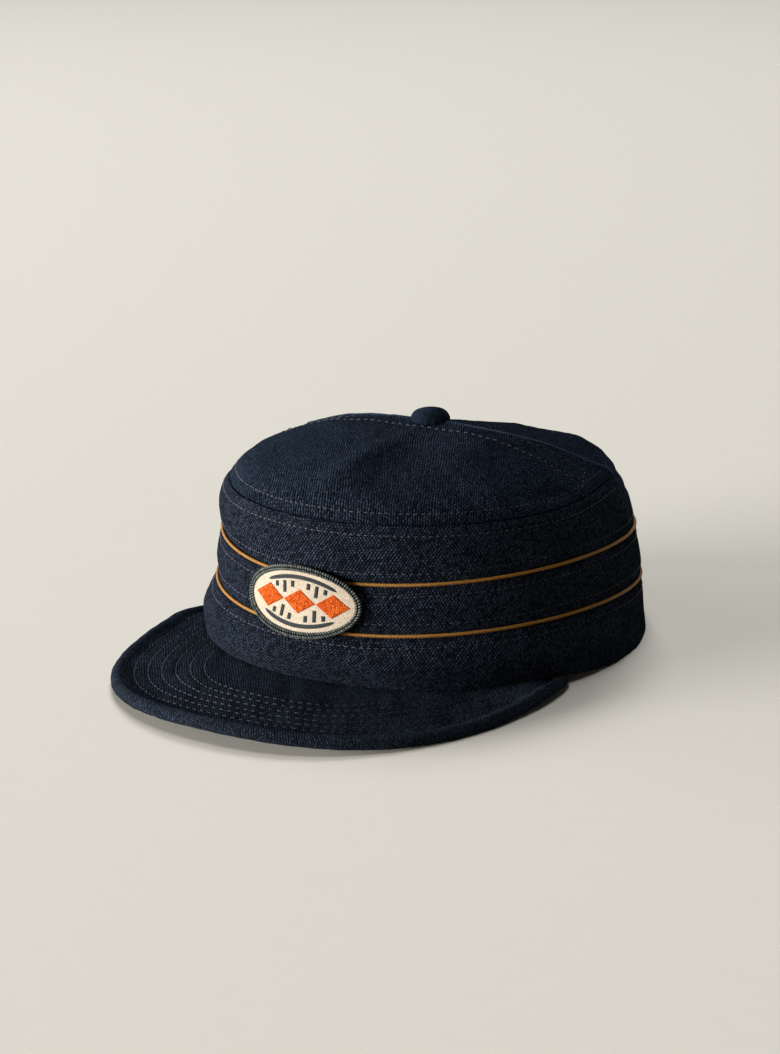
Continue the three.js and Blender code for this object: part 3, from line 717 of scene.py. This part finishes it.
def badge_at(across, up, offset):
    """Point of the badge, across and up in mm from its centre: the angle grows with the distance across, the
    height goes along the straight line between the two cords, and the badge stands off that line and bends
    out toward its upper and lower edge with the square of the height."""
    across, up, offset = np.broadcast_arrays(across, up, offset)
    middle = ring(3, BADGE_ANGLE)[..., 0]
    angle = BADGE_ANGLE + np.degrees(across / middle)
    bend = np.where(up > 0, BADGE_BEND_UP, BADGE_BEND_DOWN) * (up / BADGE_HALF_HEIGHT) ** 2
    low, high = ring(LOWER_CORD, angle), ring(UPPER_CORD, angle)
    way = high - low
    length = np.linalg.norm(way, axis=-1)
    f = 0.5 * (BADGE_LEVEL - 2) + up / length
    out = offset + bend
    r = low[..., 0] + way[..., 0] * f + out * way[..., 1] / length
    z = low[..., 1] + way[..., 1] * f - out * way[..., 0] / length
    return spin(r, angle, z)


def oval_at(t, out, offset):
    """Point over the badge at a turn t along its outline, so far outside that and off the cloth."""
    return badge_at((BADGE_HALF_WIDTH + out) * np.cos(t), (BADGE_HALF_HEIGHT + out) * np.sin(t), offset)


def badge_cloth(name, steps=144, rings=26):
    """Oval of the badge: angle and share of the half widths, the front gently quilted, the back flat."""
    t = round_turn(steps)[:, None]
    share = np.linspace(0.02, 1, rings)[None]
    wide, tall = BADGE_HALF_WIDTH - BADGE_BORDER + 0.6, BADGE_HALF_HEIGHT - BADGE_BORDER + 0.6
    x, y = wide * share * np.cos(t), tall * share * np.sin(t)
    front = badge_at(x, y, BADGE_STAND_OFF + BADGE_THICKNESS + 0.05 * np.cos(x / 3.1) * np.cos(y / 2.3))
    back = badge_at(x, y, BADGE_STAND_OFF)
    uv = np.stack([x, y], -1)
    points = there_and_back(front, back)
    hubs = [badge_at(0, 0, BADGE_STAND_OFF + BADGE_THICKNESS + 0.05), badge_at(0, 0, BADGE_STAND_OFF)]
    uv = with_hubs(there_and_back(uv, uv), [[0, 0], [0, 0]])
    return mesh_piece(name, with_hubs(points, hubs), capped_faces(steps, points.shape[1]), {"wall": uv})


def badge_border(name, steps=360, sides=12):
    """Core of the badge's border: an oval tube along its edge."""
    t = round_turn(steps)[:, None]
    turn = round_turn(sides, 0.5)
    out = -BADGE_BORDER / 2 + (BADGE_BORDER / 2 - 0.1) * np.cos(turn)
    points = oval_at(t, out, BADGE_STAND_OFF + BORDER_HALF_THICKNESS * (1 + np.sin(turn)))
    return mesh_piece(name, points, grid_faces(steps, sides, True, True))


def border_wraps(name, count=112, seed=12):
    """Thread wound over the border: at even places along the oval, one bead over its outer side and one
    over its inner side, half a place further on. Between their tips the near-black core shows as dark
    dimples, a painted shade in the gaps between the wraps."""
    rng = np.random.default_rng(seed)
    place_t = np.linspace(0, TAU, 2881)
    along = lengths(np.stack([BADGE_HALF_WIDTH * np.cos(place_t), BADGE_HALF_HEIGHT * np.sin(place_t)], -1))
    paths, normals = [], []
    for low, high, shift in ((0.14, 1.02, 0.0), (-1.0, -0.12, 0.5)):
        cross = (low + high) / 2 + (high - low) / 2 * BEAD_PLACES
        s_mid = (np.arange(count) + shift) / count * along[-1] + rng.normal(0, 0.05, count)
        s_all = s_mid[:, None] + 0.35 * BEAD_PLACES
        t = np.interp(s_all % along[-1], along, place_t)
        out = -BADGE_BORDER / 2 + BADGE_BORDER / 2 * cross
        up = BADGE_STAND_OFF + BORDER_HALF_THICKNESS
        up = up + 0.92 * np.sqrt(1 - np.clip(np.abs(cross), 0, 0.98) ** 2.4)
        p = oval_at(t, out, up)
        paths.append(p)
        normals.append(unit(oval_at(t, out, up + 1.0) - p))
    tints = rng.uniform(0, 1, 2 * count)
    return beads(name, np.concatenate(paths), np.concatenate(normals), 0.4, 0.4, tints)


def patches(name, outlines, stand=0.28, lanes=13, spans=25):
    """Embroidered shapes on the badge. An outline gives the middle, half height and lean of a shape for each
    place across it; the surface is domed, stand * (1 - |v|^4)^0.5 * (1 - |u|^6)^0.5, and closed behind."""
    u = np.linspace(-1, 1, spans)[:, None]
    v = np.linspace(-1, 1, lanes)[None]
    points, uvs = [], []
    for outline in outlines:
        middle_x, middle_y, half, lean = outline(u)
        x, y = np.broadcast_arrays(middle_x - half * v * np.sin(lean), middle_y + half * v * np.cos(lean))
        dome = np.sqrt(np.clip(1 - np.abs(v) ** 4, 0, 1)) * np.sqrt(np.clip(1 - np.abs(u) ** 6, 0, 1))
        base = BADGE_STAND_OFF + BADGE_THICKNESS
        front = badge_at(x, y, base + 0.02 + stand * dome)
        back = badge_at(x, y, base - 0.25)
        points.append(there_and_back(front, back))
        flat = np.stack([x, y], -1)
        uvs.append(there_and_back(flat, flat))
    width = 2 * lanes
    one = np.concatenate([grid_faces(spans, width, False, True), end_strips(spans, width)])
    quads = repeated(one, len(points), spans * width)
    return mesh_piece(name, np.concatenate(points), quads, {"wall": np.concatenate(uvs)})


def lozenge(x, y, half_width, half_height):
    """Outline of a lozenge: its half height falls in a straight line from the middle to both ends."""
    return lambda u: (x + half_width * u, y, np.maximum(half_height * (1 - np.abs(u)), 0.05), 0)


def bar(x, y, lean, length, thick):
    """Outline of a short straight bar: its middle runs along the lean, its half width is even."""
    return lambda u: (x + length / 2 * u * np.cos(lean), y + length / 2 * u * np.sin(lean), thick / 2, lean)


def arc(rise, bow, half_width, thick):
    """Outline of a bowed line: y = rise - bow * (x / half width)^2, as thick all along but at its tips."""
    return lambda u: (half_width * u, rise - bow * u ** 2, thick / 2 * np.sqrt(np.clip(1.02 - u ** 8, 0, 1)),
                      np.arctan(-2 * bow * u / half_width))


# ---------------------------------------------------------------- materials

class Value:
    """Output of a shader node. Sums, differences, products and quotients with others or with plain numbers
    are Math nodes of its tree."""

    def __init__(self, socket):
        self.socket, self.tree = socket, socket.id_data

    def __add__(self, other):
        return calculate("ADD", self, other)

    def __sub__(self, other):
        return calculate("SUBTRACT", self, other)

    def __rsub__(self, other):
        return calculate("SUBTRACT", other, self)

    def __mul__(self, other):
        return calculate("MULTIPLY", self, other)

    def __truediv__(self, other):
        return calculate("DIVIDE", self, other)


def feed(socket, value):
    """Links a Value to an input, or sets the input to a plain number, vector or colour."""
    if isinstance(value, Value):
        value.tree.links.new(value.socket, socket)
    else:
        socket.default_value = value


def add_node(tree, kind, inputs, **settings):
    """Adds a shader node with its settings and inputs, these by name or number; gives all its outputs."""
    node = tree.nodes.new("ShaderNode" + kind)
    for label, setting in settings.items():
        setattr(node, label, setting)
    for label, value in inputs.items():
        feed(node.inputs[label], value)
    return [Value(socket) for socket in node.outputs]


def calculate(operation, *values):
    """Math node for Values and plain numbers."""
    tree = next(value.tree for value in values if isinstance(value, Value))
    return add_node(tree, "Math", dict(enumerate(values)), operation=operation)[0]


def noise(vector, scale, detail=2.0, rough=0.5):
    """Noise texture read at a vector."""
    inputs = {"Vector": vector, "Scale": scale, "Detail": detail, "Roughness": rough}
    return add_node(vector.tree, "TexNoise", inputs)[0]


def remap(value, low, high, to_low=0.0, to_high=1.0):
    """Straight map of a value from one range to another, held inside the second."""
    inputs = {"Value": value, "From Min": low, "From Max": high, "To Min": to_low, "To Max": to_high}
    return add_node(value.tree, "MapRange", inputs, clamp=True)[0]


def blend(share, a, b):
    """Value between two by a share."""
    return add_node(share.tree, "Mix", {0: share, 2: a, 3: b}, data_type="FLOAT")[0]


def blend_colour(share, a, b):
    """Colour between two by a share; each is a Value or a plain colour."""
    a, b = ((*colour, 1) if isinstance(colour, tuple) else colour for colour in (a, b))
    return add_node(share.tree, "Mix", {0: share, 6: a, 7: b}, data_type="RGBA")[2]


def attribute(tree, name):
    """Value of a point attribute of the piece."""
    return add_node(tree, "Attribute", {}, attribute_name=name)[2]


def own_map(tree, label="wall"):
    """A map of the piece, in mm."""
    return add_node(tree, "UVMap", {}, uv_map=label)[0]


def object_place(tree):
    """Place in space, in metres."""
    return add_node(tree, "TexCoord", {})[3]


def make_twill():
    """Twill weave read in mm. Ribs run along the lean, and each is cut into yarn floats, set off a little
    from one rib to the next, all wandering with a slow noise. A float is a cushion, (1 - (2r)^2)(1 - (2f)^4)
    of the places r across and f along it, with a brightness of its own. Height is the relief, Tone the
    brightness, Fleck the rare light lint and Mottle a slow patchiness. Tone follows the cushion and the fuzz
    of the relief, a painted shade between the yarns and a painted highlight on their crowns, times each
    float's own random brightness."""
    tree = bpy.data.node_groups.new("twill_weave", "ShaderNodeTree")
    for label in ("Vector", "Pitch", "Lean", "Fleck amount"):
        kind = "NodeSocketVector" if label == "Vector" else "NodeSocketFloat"
        tree.interface.new_socket(label, in_out="INPUT", socket_type=kind)
    for label in ("Height", "Tone", "Fleck", "Mottle"):
        tree.interface.new_socket(label, in_out="OUTPUT", socket_type="NodeSocketFloat")
    start, end = tree.nodes.new("NodeGroupInput"), tree.nodes.new("NodeGroupOutput")
    vector, pitch, lean, fleck_amount = (Value(socket) for socket in list(start.outputs)[:4])
    x, y, _ = add_node(tree, "SeparateXYZ", {0: vector})
    angle = calculate("RADIANS", lean)
    cos, sin = calculate("COSINE", angle), calculate("SINE", angle)
    wander, fine = noise(vector, 0.12) * 1.6 - 0.8, noise(vector, 0.9) - 0.5
    turns = (x * sin - y * cos + wander + fine) / pitch
    rib = calculate("ROUND", turns)
    r = turns - rib
    floats = (x * cos + y * sin + fine) / pitch / FLOAT_LENGTH + rib * FLOAT_SHIFT
    yarn = calculate("ROUND", floats)
    f = floats - yarn
    cell = add_node(tree, "CombineXYZ", {0: rib, 1: yarn})[0]
    own = add_node(tree, "TexWhiteNoise", {"Vector": cell})[0]
    cushion = (1.0 - r * r * 4.0) * (1.0 - calculate("POWER", calculate("ABSOLUTE", f), 4.0) * 16.0)
    fuzz = noise(vector, 2.4, 2.0, 0.7)
    height = cushion * (own * 0.5 + 0.5) + fuzz * 0.5
    # Painted shade and highlight: dark at a float's edges and light on its crown and where the fuzz stands
    # high, times the float's own random brightness
    tone = remap(cushion, 0.28, 0.9) * (own * 0.85 + 0.15) * remap(fuzz, 0.36, 0.64, 0.58, 1.28)
    lint = noise(add_node(tree, "Mapping", {"Vector": vector, "Scale": (1.0, 0.6, 1.0)})[0], 0.62, 1.0, 0.4)
    fleck = remap(lint, 0.73, 0.80) * remap(fuzz, 0.42, 0.62) * fleck_amount
    for socket, value in zip(end.inputs, (height, tone, fleck, noise(vector, 0.05, 3.0, 0.6))):
        feed(socket, value)
    return tree


def weave(vector, pitch, lean, fleck):
    """Height, tone, fleck and mottle of the twill read at a vector."""
    inputs = {"Vector": vector, "Pitch": pitch, "Lean": lean, "Fleck amount": fleck}
    return add_node(vector.tree, "Group", inputs, node_tree=twill)


def new_material(name, rough, sheen, specular):
    """Material with a Principled shader and its constant settings; sheen is a weight, roughness and tint."""
    material = bpy.data.materials.new(name)
    material.use_nodes = True
    shader = material.node_tree.nodes["Principled BSDF"]
    for label, value in (("Roughness", rough), ("Sheen Weight", sheen[0]), ("Sheen Roughness", sheen[1]),
                         ("Sheen Tint", (*sheen[2], 1)), ("Specular IOR Level", specular)):
        shader.inputs[label].default_value = value
    return material, material.node_tree, shader


def colour_and_bump(shader, colour, height, depth, strength=1.0):
    """Feeds a shader its colour, and its normal from a relief with a depth in metres."""
    feed(shader.inputs["Base Color"], colour)
    inputs = {"Height": height, "Distance": depth, "Strength": strength}
    feed(shader.inputs["Normal"], add_node(height.tree, "Bump", inputs)[0])


def cloth_colours(tone, fleck, mottle, dark, light, lint):
    """Colour of the twill: dark between the yarns, a painted shade, and light on their crowns, a painted
    highlight, more so on bright yarns and in mottled places; lint over it.
    """
    share = tone * remap(mottle, 0.3, 0.7, 0.75, 1.25)
    return blend_colour(fleck, blend_colour(share, dark, light), lint)


def crown_material(name, sheen):
    """Navy twill of the crown: the wall map and the top map each carry the weave with a light colour and a
    depth of its own, and top_share fades one into the other over the shoulder; the edge highlight attribute
    blends in a painted highlight colour along a folded edge."""
    material, tree, shader = new_material(name, 0.9, sheen, 0.0)
    share = attribute(tree, "top_share")
    on_wall = weave(own_map(tree), 1.06, 54.0, NAVY_FLECK)
    on_wall[0] = on_wall[0] * (WALL_DEPTH / TOP_DEPTH)
    on_top = weave(own_map(tree, "top"), 0.96, 117.0, NAVY_FLECK)
    height, tone, fleck, mottle = (blend(share, a, b) for a, b in zip(on_wall, on_top))
    light = blend_colour(share, NAVY_LIGHT, NAVY_TOP_LIGHT)
    colour = cloth_colours(tone, fleck, mottle, NAVY_DARK, light, NAVY_LINT)
    # Painted highlight: share of the highlight colour along the folded edge, larger on the higher yarns
    painted_light_share = attribute(tree, "wear") * remap(height, 0.1, 0.9, 0.5, 1.0)
    feed(shader.inputs["Roughness"], remap(tone, 0, 1, 0.98, 0.7))
    colour_and_bump(shader, blend_colour(painted_light_share, colour, EDGE_HIGHLIGHT), height, TOP_DEPTH)
    return material


def cloth_material(name, lean, pitch, dark, light, lint, fleck_amount, depth, sheen, fuzz):
    """Cloth of the other pieces: the weave on the piece's own map, with a nap of short fibres."""
    material, tree, shader = new_material(name, 0.9, sheen, 0.0)
    vector = own_map(tree)
    height, tone, fleck, mottle = weave(vector, pitch, lean, fleck_amount)
    nap = noise(vector, 1.9, 4.0, 0.75)
    # Painted highlight: the nap lightens the colour where it also raises the relief
    tone = tone + remap(nap, 0.35, 0.7) * (0.5 * fuzz)
    colour = cloth_colours(tone, fleck, mottle, dark, light, lint)
    colour_and_bump(shader, colour, height + nap * fuzz, depth)
    return material


def thread_material(name, dark, light, sheen, specular=0.15, tinted=True):
    """Sewing thread: colour between two by a fine twisted grain, and by each bead's own tint, which on the
    stitch rows also carries their painted shade.
    """
    material, tree, shader = new_material(name, 0.6, (sheen, 0.4, WHITE), specular)
    grain = noise(object_place(tree), 2600.0, 2.0, 0.6)
    share = remap(grain, 0.35, 0.65)
    if tinted:
        share = share * 0.35 + attribute(tree, "tint") * 0.65
    colour_and_bump(shader, blend_colour(share, dark, light), grain, 0.0001, 0.7)
    return material


def ribs(place, pitch):
    """Evenly spaced ribs: 0.5 + 0.5 cos of the place over the pitch in turns."""
    return calculate("COSINE", place * (TAU / pitch)) * 0.5 + 0.5


def cord_material(name, dark, light):
    """Cord covering: fine ribs across the cord from its length in mm, each lighter along its crest, a
    painted highlight, and lighter in places by a fine grain.
    """
    material, tree, shader = new_material(name, 0.5, (0.04, 0.4, (1.0, 0.85, 0.6)), 0.15)
    vector = own_map(tree)
    x, y, _ = add_node(tree, "SeparateXYZ", {0: vector})
    rib = ribs(x + y * 0.25, 0.62)
    grain = noise(vector, 2.5, 2.0, 0.6)
    # Painted highlight on the rib crests, half of the share; the fine grain gives the other half
    share = rib * 0.5 + remap(grain, 0.3, 0.7) * 0.5
    colour_and_bump(shader, blend_colour(share, dark, light), rib + grain * 0.4, 0.00012)
    return material


def satin_material(name, dark, light, lean):
    """Satin stitch: close parallel threads in one direction on the badge's map, each lighter along its crest,
    a painted highlight, and the shader's soft gleam.
    """
    material, tree, shader = new_material(name, 0.45, (0.03, 0.4, WHITE), 0.2)
    vector = own_map(tree)
    turned = add_node(tree, "Mapping", {"Vector": vector, "Rotation": (0, 0, math.radians(lean))})[0]
    x, _, _ = add_node(tree, "SeparateXYZ", {0: turned})
    rib = ribs(x + noise(vector, 0.6, 1.0) * 0.5, 0.42)
    # Painted highlight along each thread's crest, over half of the share; a noise gives the rest
    share = rib * 0.55 + remap(noise(vector, 2.2, 2.0, 0.6), 0.3, 0.7) * 0.45
    colour_and_bump(shader, blend_colour(share, dark, light), rib, 0.00012)
    return material


# ---------------------------------------------------------------- the cap

WHITE = (1.0, 1.0, 1.0)
# Twill of the crown: colours, share of lint, depth of the relief in metres on the wall and the top
NAVY_DARK, NAVY_LIGHT = (0.0009, 0.0012, 0.0020), (0.0280, 0.0370, 0.0565)
NAVY_TOP_LIGHT = (0.0262, 0.0366, 0.0580)
# The last colour on the next line is a painted highlight for the top front's folded edges
NAVY_LINT, NAVY_FLECK, EDGE_HIGHLIGHT = (0.05, 0.06, 0.08), 0.2, (0.060, 0.092, 0.150)
WALL_DEPTH, TOP_DEPTH = 0.00055, 0.00110
# A yarn float: its length in rib pitches, and its shift from one rib to the next
FLOAT_LENGTH, FLOAT_SHIFT = 1.3, 0.37
# Sheen of the cloths: weight, roughness and tint
WALL_SHEEN, TOP_SHEEN = (0.008, 0.5, (0.8, 0.9, 1.0)), (0.043, 0.3, (0.39, 0.62, 0.94))
VISOR_SHEEN, BINDING_SHEEN = (0.015, 0.5, (0.55, 0.78, 1.0)), (0.014, 0.5, (0.7, 0.88, 1.0))
NO_SHEEN = (0.0, 0.5, WHITE)
THREAD_DARK = (0.003, 0.004, 0.007)

twill = make_twill()
navy = crown_material("navy_twill", WALL_SHEEN)
navy_top = crown_material("navy_top_twill", TOP_SHEEN)
# Lean in degrees, pitch in mm, dark, light and lint colours, share of lint, relief in metres, sheen, nap
button_navy = cloth_material("button_twill", 100.0, 0.7, (0.0020, 0.0035, 0.0060),
                             (0.0150, 0.0210, 0.0320), (0.05, 0.06, 0.07), 0.2, 0.00022, TOP_SHEEN, 0.3)
visor_navy = cloth_material("visor_twill", 128.0, 1.02, (0.0002, 0.0004, 0.0008),
                            (0.0225, 0.0298, 0.0460), (0.10, 0.11, 0.13), 0.9, 0.00040, VISOR_SHEEN, 0.12)
binding_navy = cloth_material("binding_twill", 78.0, 1.0, (0.0003, 0.0006, 0.0012),
                              (0.0280, 0.0375, 0.0560), (0.11, 0.13, 0.16), 0.4, 0.00070, BINDING_SHEEN, 0.4)
cream = cloth_material("badge_twill", 45.0, 0.6, (0.25, 0.205, 0.150), (0.440, 0.382, 0.305),
                       (0.42, 0.38, 0.33), 0.1, 0.00010, NO_SHEEN, 0.1)
orange = cloth_material("orange_fill", 98.0, 0.7, (0.16, 0.013, 0.002), (0.555, 0.128, 0.025),
                        (0.52, 0.25, 0.09), 1.0, 0.00014, NO_SHEEN, 0.3)
stitch_thread = thread_material("stitch_thread", THREAD_DARK, (0.070, 0.058, 0.072), 0.05)
visor_thread = thread_material("visor_thread", THREAD_DARK, (0.034, 0.032, 0.043), 0.05)
border_thread = thread_material("border_thread", (0.026, 0.030, 0.027), (0.130, 0.142, 0.124), 0.03)
# The border's core is near black, a painted shade that shows in the gaps between the wraps
border_core_painted_shade = thread_material("border_core_painted_shade", (0.0005, 0.0005, 0.001), (0.002, 0.002, 0.003), 0, 0, False)
gold = cord_material("gold_cord_cover", (0.105, 0.040, 0.003), (0.285, 0.128, 0.018))
dark_satin = satin_material("dark_satin", (0.001, 0.001, 0.002), (0.020, 0.025, 0.027), 90.0)

dress(panel("top_front_cloth", GROOVE + EDGE, HOLE, 96, 440, False), navy_top, "navy_cloth", "crown_top_front")
dress(panel("back_cloth", UPPER_CORD + EDGE, HOLE, 124, 300, True), navy_top, "navy_cloth", "crown_back")
dress(panel("front_band_cloth", UPPER_CORD + EDGE, GROOVE - EDGE, 44, 440, False), navy, "navy_cloth",
      "front_band")
dress(band("middle_band_cloth", LOWER_CORD + EDGE, UPPER_CORD - EDGE, 36), navy, "navy_cloth", "middle_band")
dress(band("lower_band_cloth", HEM, LOWER_CORD - EDGE, 40), navy, "navy_cloth", "lower_band")
dress(cord("upper_cord_cover", UPPER_CORD), gold, "gold_cord", "upper_cord")
dress(cord("lower_cord_cover", LOWER_CORD), gold, "gold_cord", "lower_cord")
dress(button("button_cloth"), button_navy, "navy_cloth", "top_button")
dress(stitches("crown_stitches", round_lines(), 0.21, 0.22, 0.2, 3), stitch_thread, "navy_cloth")

board, board_distance, board_top = visor("visor_cloth_cover")
dress(board, visor_navy, "visor_cloth", "visor")
visor_rows = visor_lines(board_distance, board_top)
dress(stitches("visor_stitches", visor_rows, 0.19, 0.2, 0.2, 8), visor_thread, "visor_cloth")
dress(binding("binding_roll"), binding_navy, "binding_cloth", "visor_binding")

dress(badge_cloth("badge_ground"), cream, "badge_cloth", "badge")
dress(badge_border("badge_edge"), border_core_painted_shade, "badge_thread", "badge_border")
dress(border_wraps("badge_edge_wraps"), border_thread, "badge_thread")
lozenges = [lozenge(x, 0, 7.5, 4.9) for x in (-15.2, 0.0, 15.2)]
dress(patches("badge_lozenges", lozenges), orange, "badge_thread")
# Bars above and below the lozenges: place across and length
BARS = [(-11.6, 2.2), (-7.6, 4.8), (-3.8, 2.6), (3.8, 2.6), (7.6, 4.8), (11.6, 2.2)]
marks = []
for side in (1, -1):
    marks.append(arc(9.7 * side, 3.6 * side, 16.5, 1.7))
    for x, length in BARS:
        middle = side * (8.0 - length / 2 - 0.012 * x * x)
        marks.append(bar(x, middle, math.radians(90 - 0.7 * x * side), length, 1.7))
dress(patches("badge_marks", marks), dark_satin, "badge_thread")


# ---------------------------------------------------------------- floor, light and camera

def sweep_floor():
    """Pale floor: a disc of even height out to 5 m that curves up like a bowl beyond."""
    reach = np.concatenate([np.linspace(0, 5.0, 10), 5.0 + np.linspace(0, 3.0, 16)[1:]])
    height = np.where(reach > 5.0, 0.28 * (reach - 5.0) ** 2, 0.0)
    a = round_turn(96)[:, None]
    points = np.stack([reach * np.sin(a), reach * np.cos(a), height + 0 * a], -1) * 1000
    points[..., 1] -= AXIS_Y
    return mesh_piece("floor", points, grid_faces(96, len(reach), True, False))


def floor_material():
    """Pale paper floor with a faint grain."""
    material, tree, shader = new_material("floor_paper", 0.9, NO_SHEEN, 0.2)
    grain = noise(object_place(tree), 90.0, 3.0, 0.6)
    feed(shader.inputs["Base Color"], blend_colour(grain, (0.517, 0.492, 0.438), (0.531, 0.506, 0.452)))
    return material


def aim(thing, centre, azimuth, elevation, distance):
    """Puts a lamp or camera at a distance from a centre, in metres, to look straight at it from a
    direction: azimuth 0 is in front."""
    a, e = math.radians(azimuth), math.radians(elevation)
    back = Vector((math.sin(a) * math.cos(e), -math.cos(a) * math.cos(e), math.sin(e)))
    thing.location = Vector(centre) + back * distance
    thing.rotation_mode = "QUATERNION"
    thing.rotation_quaternion = (-back).to_track_quat("-Z", "Y")
    bpy.context.scene.collection.objects.link(thing)


def soft_light(name, azimuth, elevation, distance, width, height, power, colour):
    """Area light that looks at the cap's middle."""
    light = bpy.data.lights.new(name, "AREA")
    light.shape = "RECTANGLE"
    light.size, light.size_y = width, height
    light.energy, light.color = power, colour
    aim(bpy.data.objects.new(name, light), (0, 0, 0.05), azimuth, elevation, distance)


def photo_camera(azimuth, elevation, distance, target, lens):
    """Camera of the photograph's view."""
    data = bpy.data.cameras.new("camera")
    data.lens, data.sensor_width, data.sensor_fit = lens, 36.0, "AUTO"
    bpy.context.scene.camera = bpy.data.objects.new("camera", data)
    aim(bpy.context.scene.camera, target, azimuth, elevation, distance)


floor = sweep_floor()
floor.data.materials.append(floor_material())

world = bpy.data.worlds.new("studio")
world.use_nodes = True
background = world.node_tree.nodes["Background"]
background.inputs["Color"].default_value = (0.80, 0.86, 1.0, 1)
background.inputs["Strength"].default_value = 0.01
bpy.context.scene.world = world
bpy.context.scene.view_settings.view_transform = "Standard"

soft_light("window_left", -42.0, 5.5, 4.5, 3.6, 0.75, 830.0, (1.0, 0.99, 0.97))
soft_light("side_left", -88.0, 7.0, 4.5, 2.2, 0.9, 95.0, (0.97, 0.98, 1.0))
soft_light("window_back", -150.0, 52.0, 6.0, 2.6, 2.6, 236.0, (0.96, 0.98, 1.0))
soft_light("overhead", 0.0, 89.0, 6.0, 2.6, 2.6, 148.0, (1.0, 1.0, 1.0))
photo_camera(31.81, 16.42, 1.0606, (-0.00696, 0.01264, 0.04782), 85.39)
